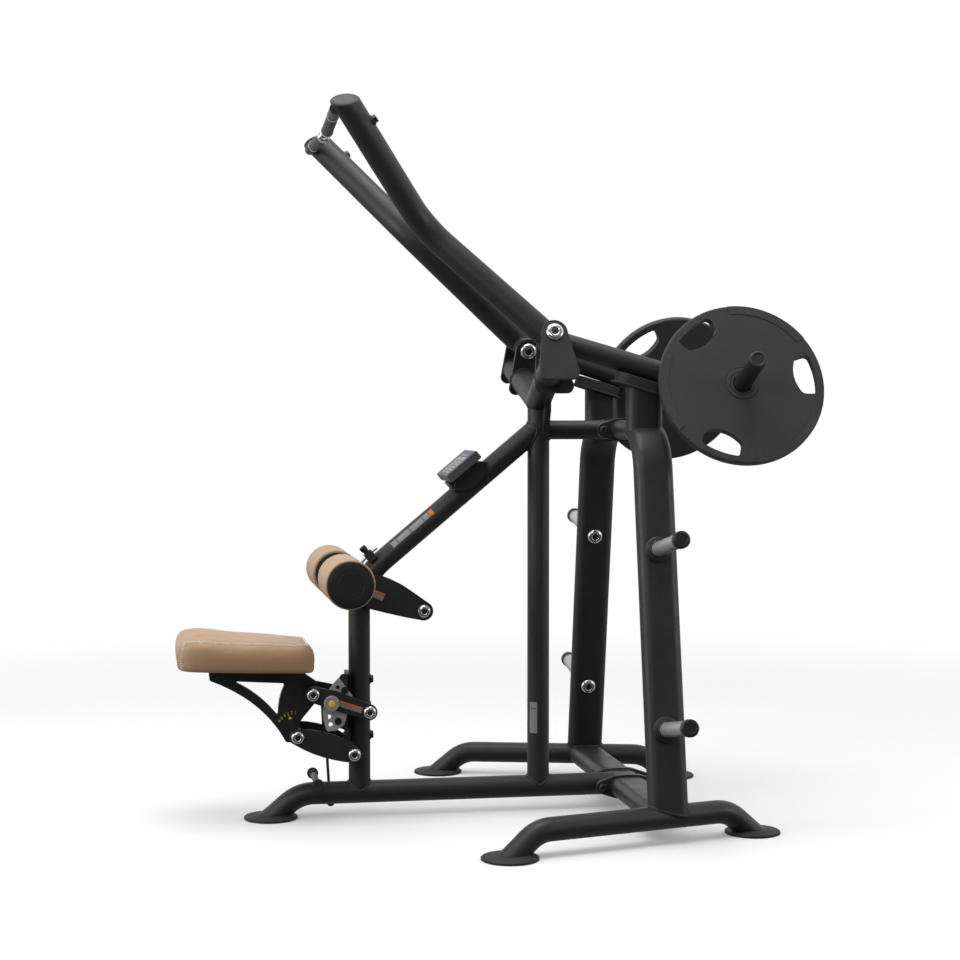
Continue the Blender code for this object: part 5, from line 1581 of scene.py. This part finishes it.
def build_labels():
    # film on the diagonal tube: grey field of plain bars with an orange head
    path = front_tube_path()
    along = (path[-1] - path[-2]).normalized()
    foot = Vector((-0.419, 0, DIAG_Z + (-DIAG_X - 0.419) * math.tan(DIAG_ANGLE)))
    facing = (-0.48, -1.0, 0.57)
    curved_tag("tube_film", foot, along, FRONT_R, facing, 0.137, (-17, 17), SILVER)
    curved_tag("tube_film_head", foot, along, FRONT_R, facing, 0.014, (-17, 17), ORANGE, lead=0.139)
    for k in range(3):
        curved_tag("tube_bar_%d" % k, foot, along, FRONT_R + 0.0003, facing, 0.004, (-15, 15), GRIP,
                   lead=0.018 + 0.048 * k)
    # grey film on the centre upright
    curved_tag("upright_film", (0, 0, 0.226), (0, 0, 1), TUBE_R, (-0.8, -1.0, 0), 0.09, (-22, 22), SILVER)
    curved_tag("upright_bar", (0, 0, 0.226), (0, 0, 1), TUBE_R + 0.0003, (-0.8, -1.0, 0), 0.004, (-16, 16),
               GRIP, lead=0.07)
    # strip label on the upper link's near leaf
    turn = math.atan2(SEAT_B[1] - SEAT_A[1], SEAT_B[0] - SEAT_A[0])
    middle = Vector((-0.556, -LINK_OUT, 0.3262))
    tag("link_film", (-0.034, -0.01, 0.034, 0.0005), middle, turn, SILVER, "seat_upper_link")
    tag("link_film_head", (-0.034, 0.001, 0.034, 0.007), middle, turn, ORANGE, "seat_upper_link")
    # small label on the near leaf of the roller lever
    middle = Vector((-0.483, -LEAF_OUT, 0.642))
    turn = math.radians(-23.0)
    tag("leaf_film", (-0.036, -0.013, 0.03, 0.001), middle, turn, SILVER, "thigh_arm")
    tag("leaf_film_head", (-0.036, 0.0018, 0.03, 0.009), middle, turn, ORANGE, "thigh_arm")
    # white label with yellow, grey and orange fields on the web of the lever, between the rollers
    rx, rz = ROLLER_PIN
    for name, y0, y1, low, high, mat, lift in (
            ("web_film", -0.03, 0.03, 150, 235, WHITE, 0.0004),
            ("web_film_yellow", -0.027, -0.004, 158, 188, YELLOW, 0.0007),
            ("web_film_grey", -0.027, 0.027, 196, 212, SILVER, 0.0007),
            ("web_film_orange", -0.027, 0.027, 217, 229, ORANGE, 0.0007)):
        piece = curved_tag(name, (rx, 0, rz), (0, 1, 0), 0.0202, (1.0, 0, 0), y1 - y0, (-low, -high), mat,
                           lift, y0)
        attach(piece, "thigh_arm")


# ------------------------------------------------------------ build everything
build_base()
build_saddle()
build_sides()
build_arms()
build_seat()
build_cushion()
build_lever()
build_display()
build_labels()

# ------------------------------------------------------------ floor and light
floor_mesh = bpy.data.meshes.new("floor")
floor_mesh.from_pydata([(-40, -40, 0), (40, -40, 0), (40, 40, 0), (-40, 40, 0)], [], [(0, 1, 2, 3)])
floor = placed("floor", floor_mesh)
floor_look, tree, shader, place = graph("floor_pale", (0.8, 0.8, 0.8), 0.9)
fill(shader, {"Specular IOR Level": 0.0, "Emission Color": (1.0, 1.0, 1.0, 1.0),
              "Emission Strength": FLOOR_GLOW})
reach = tree.nodes.new("ShaderNodeVectorMath")
reach.operation = "LENGTH"
link(place, reach.inputs[0])
fade = span(tree, reach.outputs["Value"], 0.0, 1.0, 1.6, 5.0, smooth=True)
white = tree.nodes.new("ShaderNodeEmission")
faded = mixed(tree, fade, shader.outputs[0], white.outputs[0])
link(faded, tree.nodes["Material Output"].inputs["Surface"])
floor_mesh.materials.append(floor_look)
floor.visible_diffuse = False
floor.visible_glossy = False

# white room for the eye; for light it is dim in front and below, bright above, beside and behind
world = bpy.data.worlds.new("studio")
bpy.context.scene.world = world
world.use_nodes = True
tree = world.node_tree
room = tree.nodes["Background"]
fill(room, {"Color": (1.0, 1.0, 1.0, 1.0)})
axes = tree.nodes.new("ShaderNodeSeparateXYZ")
link(tree.nodes.new("ShaderNodeTexCoord").outputs["Generated"], axes.inputs[0])
glow_along = span(tree, axes.outputs["Y"], ROOM_FRONT, ROOM_BACK, -0.8, 0.05, smooth=True)
glow_up = span(tree, axes.outputs["Z"], 0.35, 1.0, -0.25, 0.15, smooth=True)
link(product(tree, glow_along, glow_up), room.inputs["Strength"])
seen = tree.nodes.new("ShaderNodeBackground")
fill(seen, {"Color": (1.0, 1.0, 1.0, 1.0), "Strength": 1.02})
eye = tree.nodes.new("ShaderNodeLightPath")
both = mixed(tree, eye.outputs["Is Camera Ray"], room.outputs[0], seen.outputs[0])
link(both, tree.nodes["World Output"].inputs["Surface"])


def softbox(name, place, target, size, power):
    """Square soft light aimed at a point."""
    data = bpy.data.lights.new(name, "AREA")
    data.shape = "SQUARE"
    data.size = size
    data.energy = power
    light = placed(name, data)
    light.location = place
    light.rotation_euler = (Vector(target) - Vector(place)).to_track_quat("-Z", "Y").to_euler()


softbox("top", (-0.3, -0.6, 4.2), (-0.1, 0, 0.6), 2.6, 70.0)
softbox("front", (-2.0, -4.5, 3.2), (-0.2, 0, 0.8), 1.6, 32.0)
softbox("left", (-4.2, -1.4, 2.0), (-0.2, 0, 0.8), 1.6, 55.0)
softbox("right", (3.8, -2.2, 1.6), (0.2, 0, 0.8), 1.2, 22.0)
bpy.context.scene.view_settings.view_transform = "Standard"

bpy.context.view_layer.update()
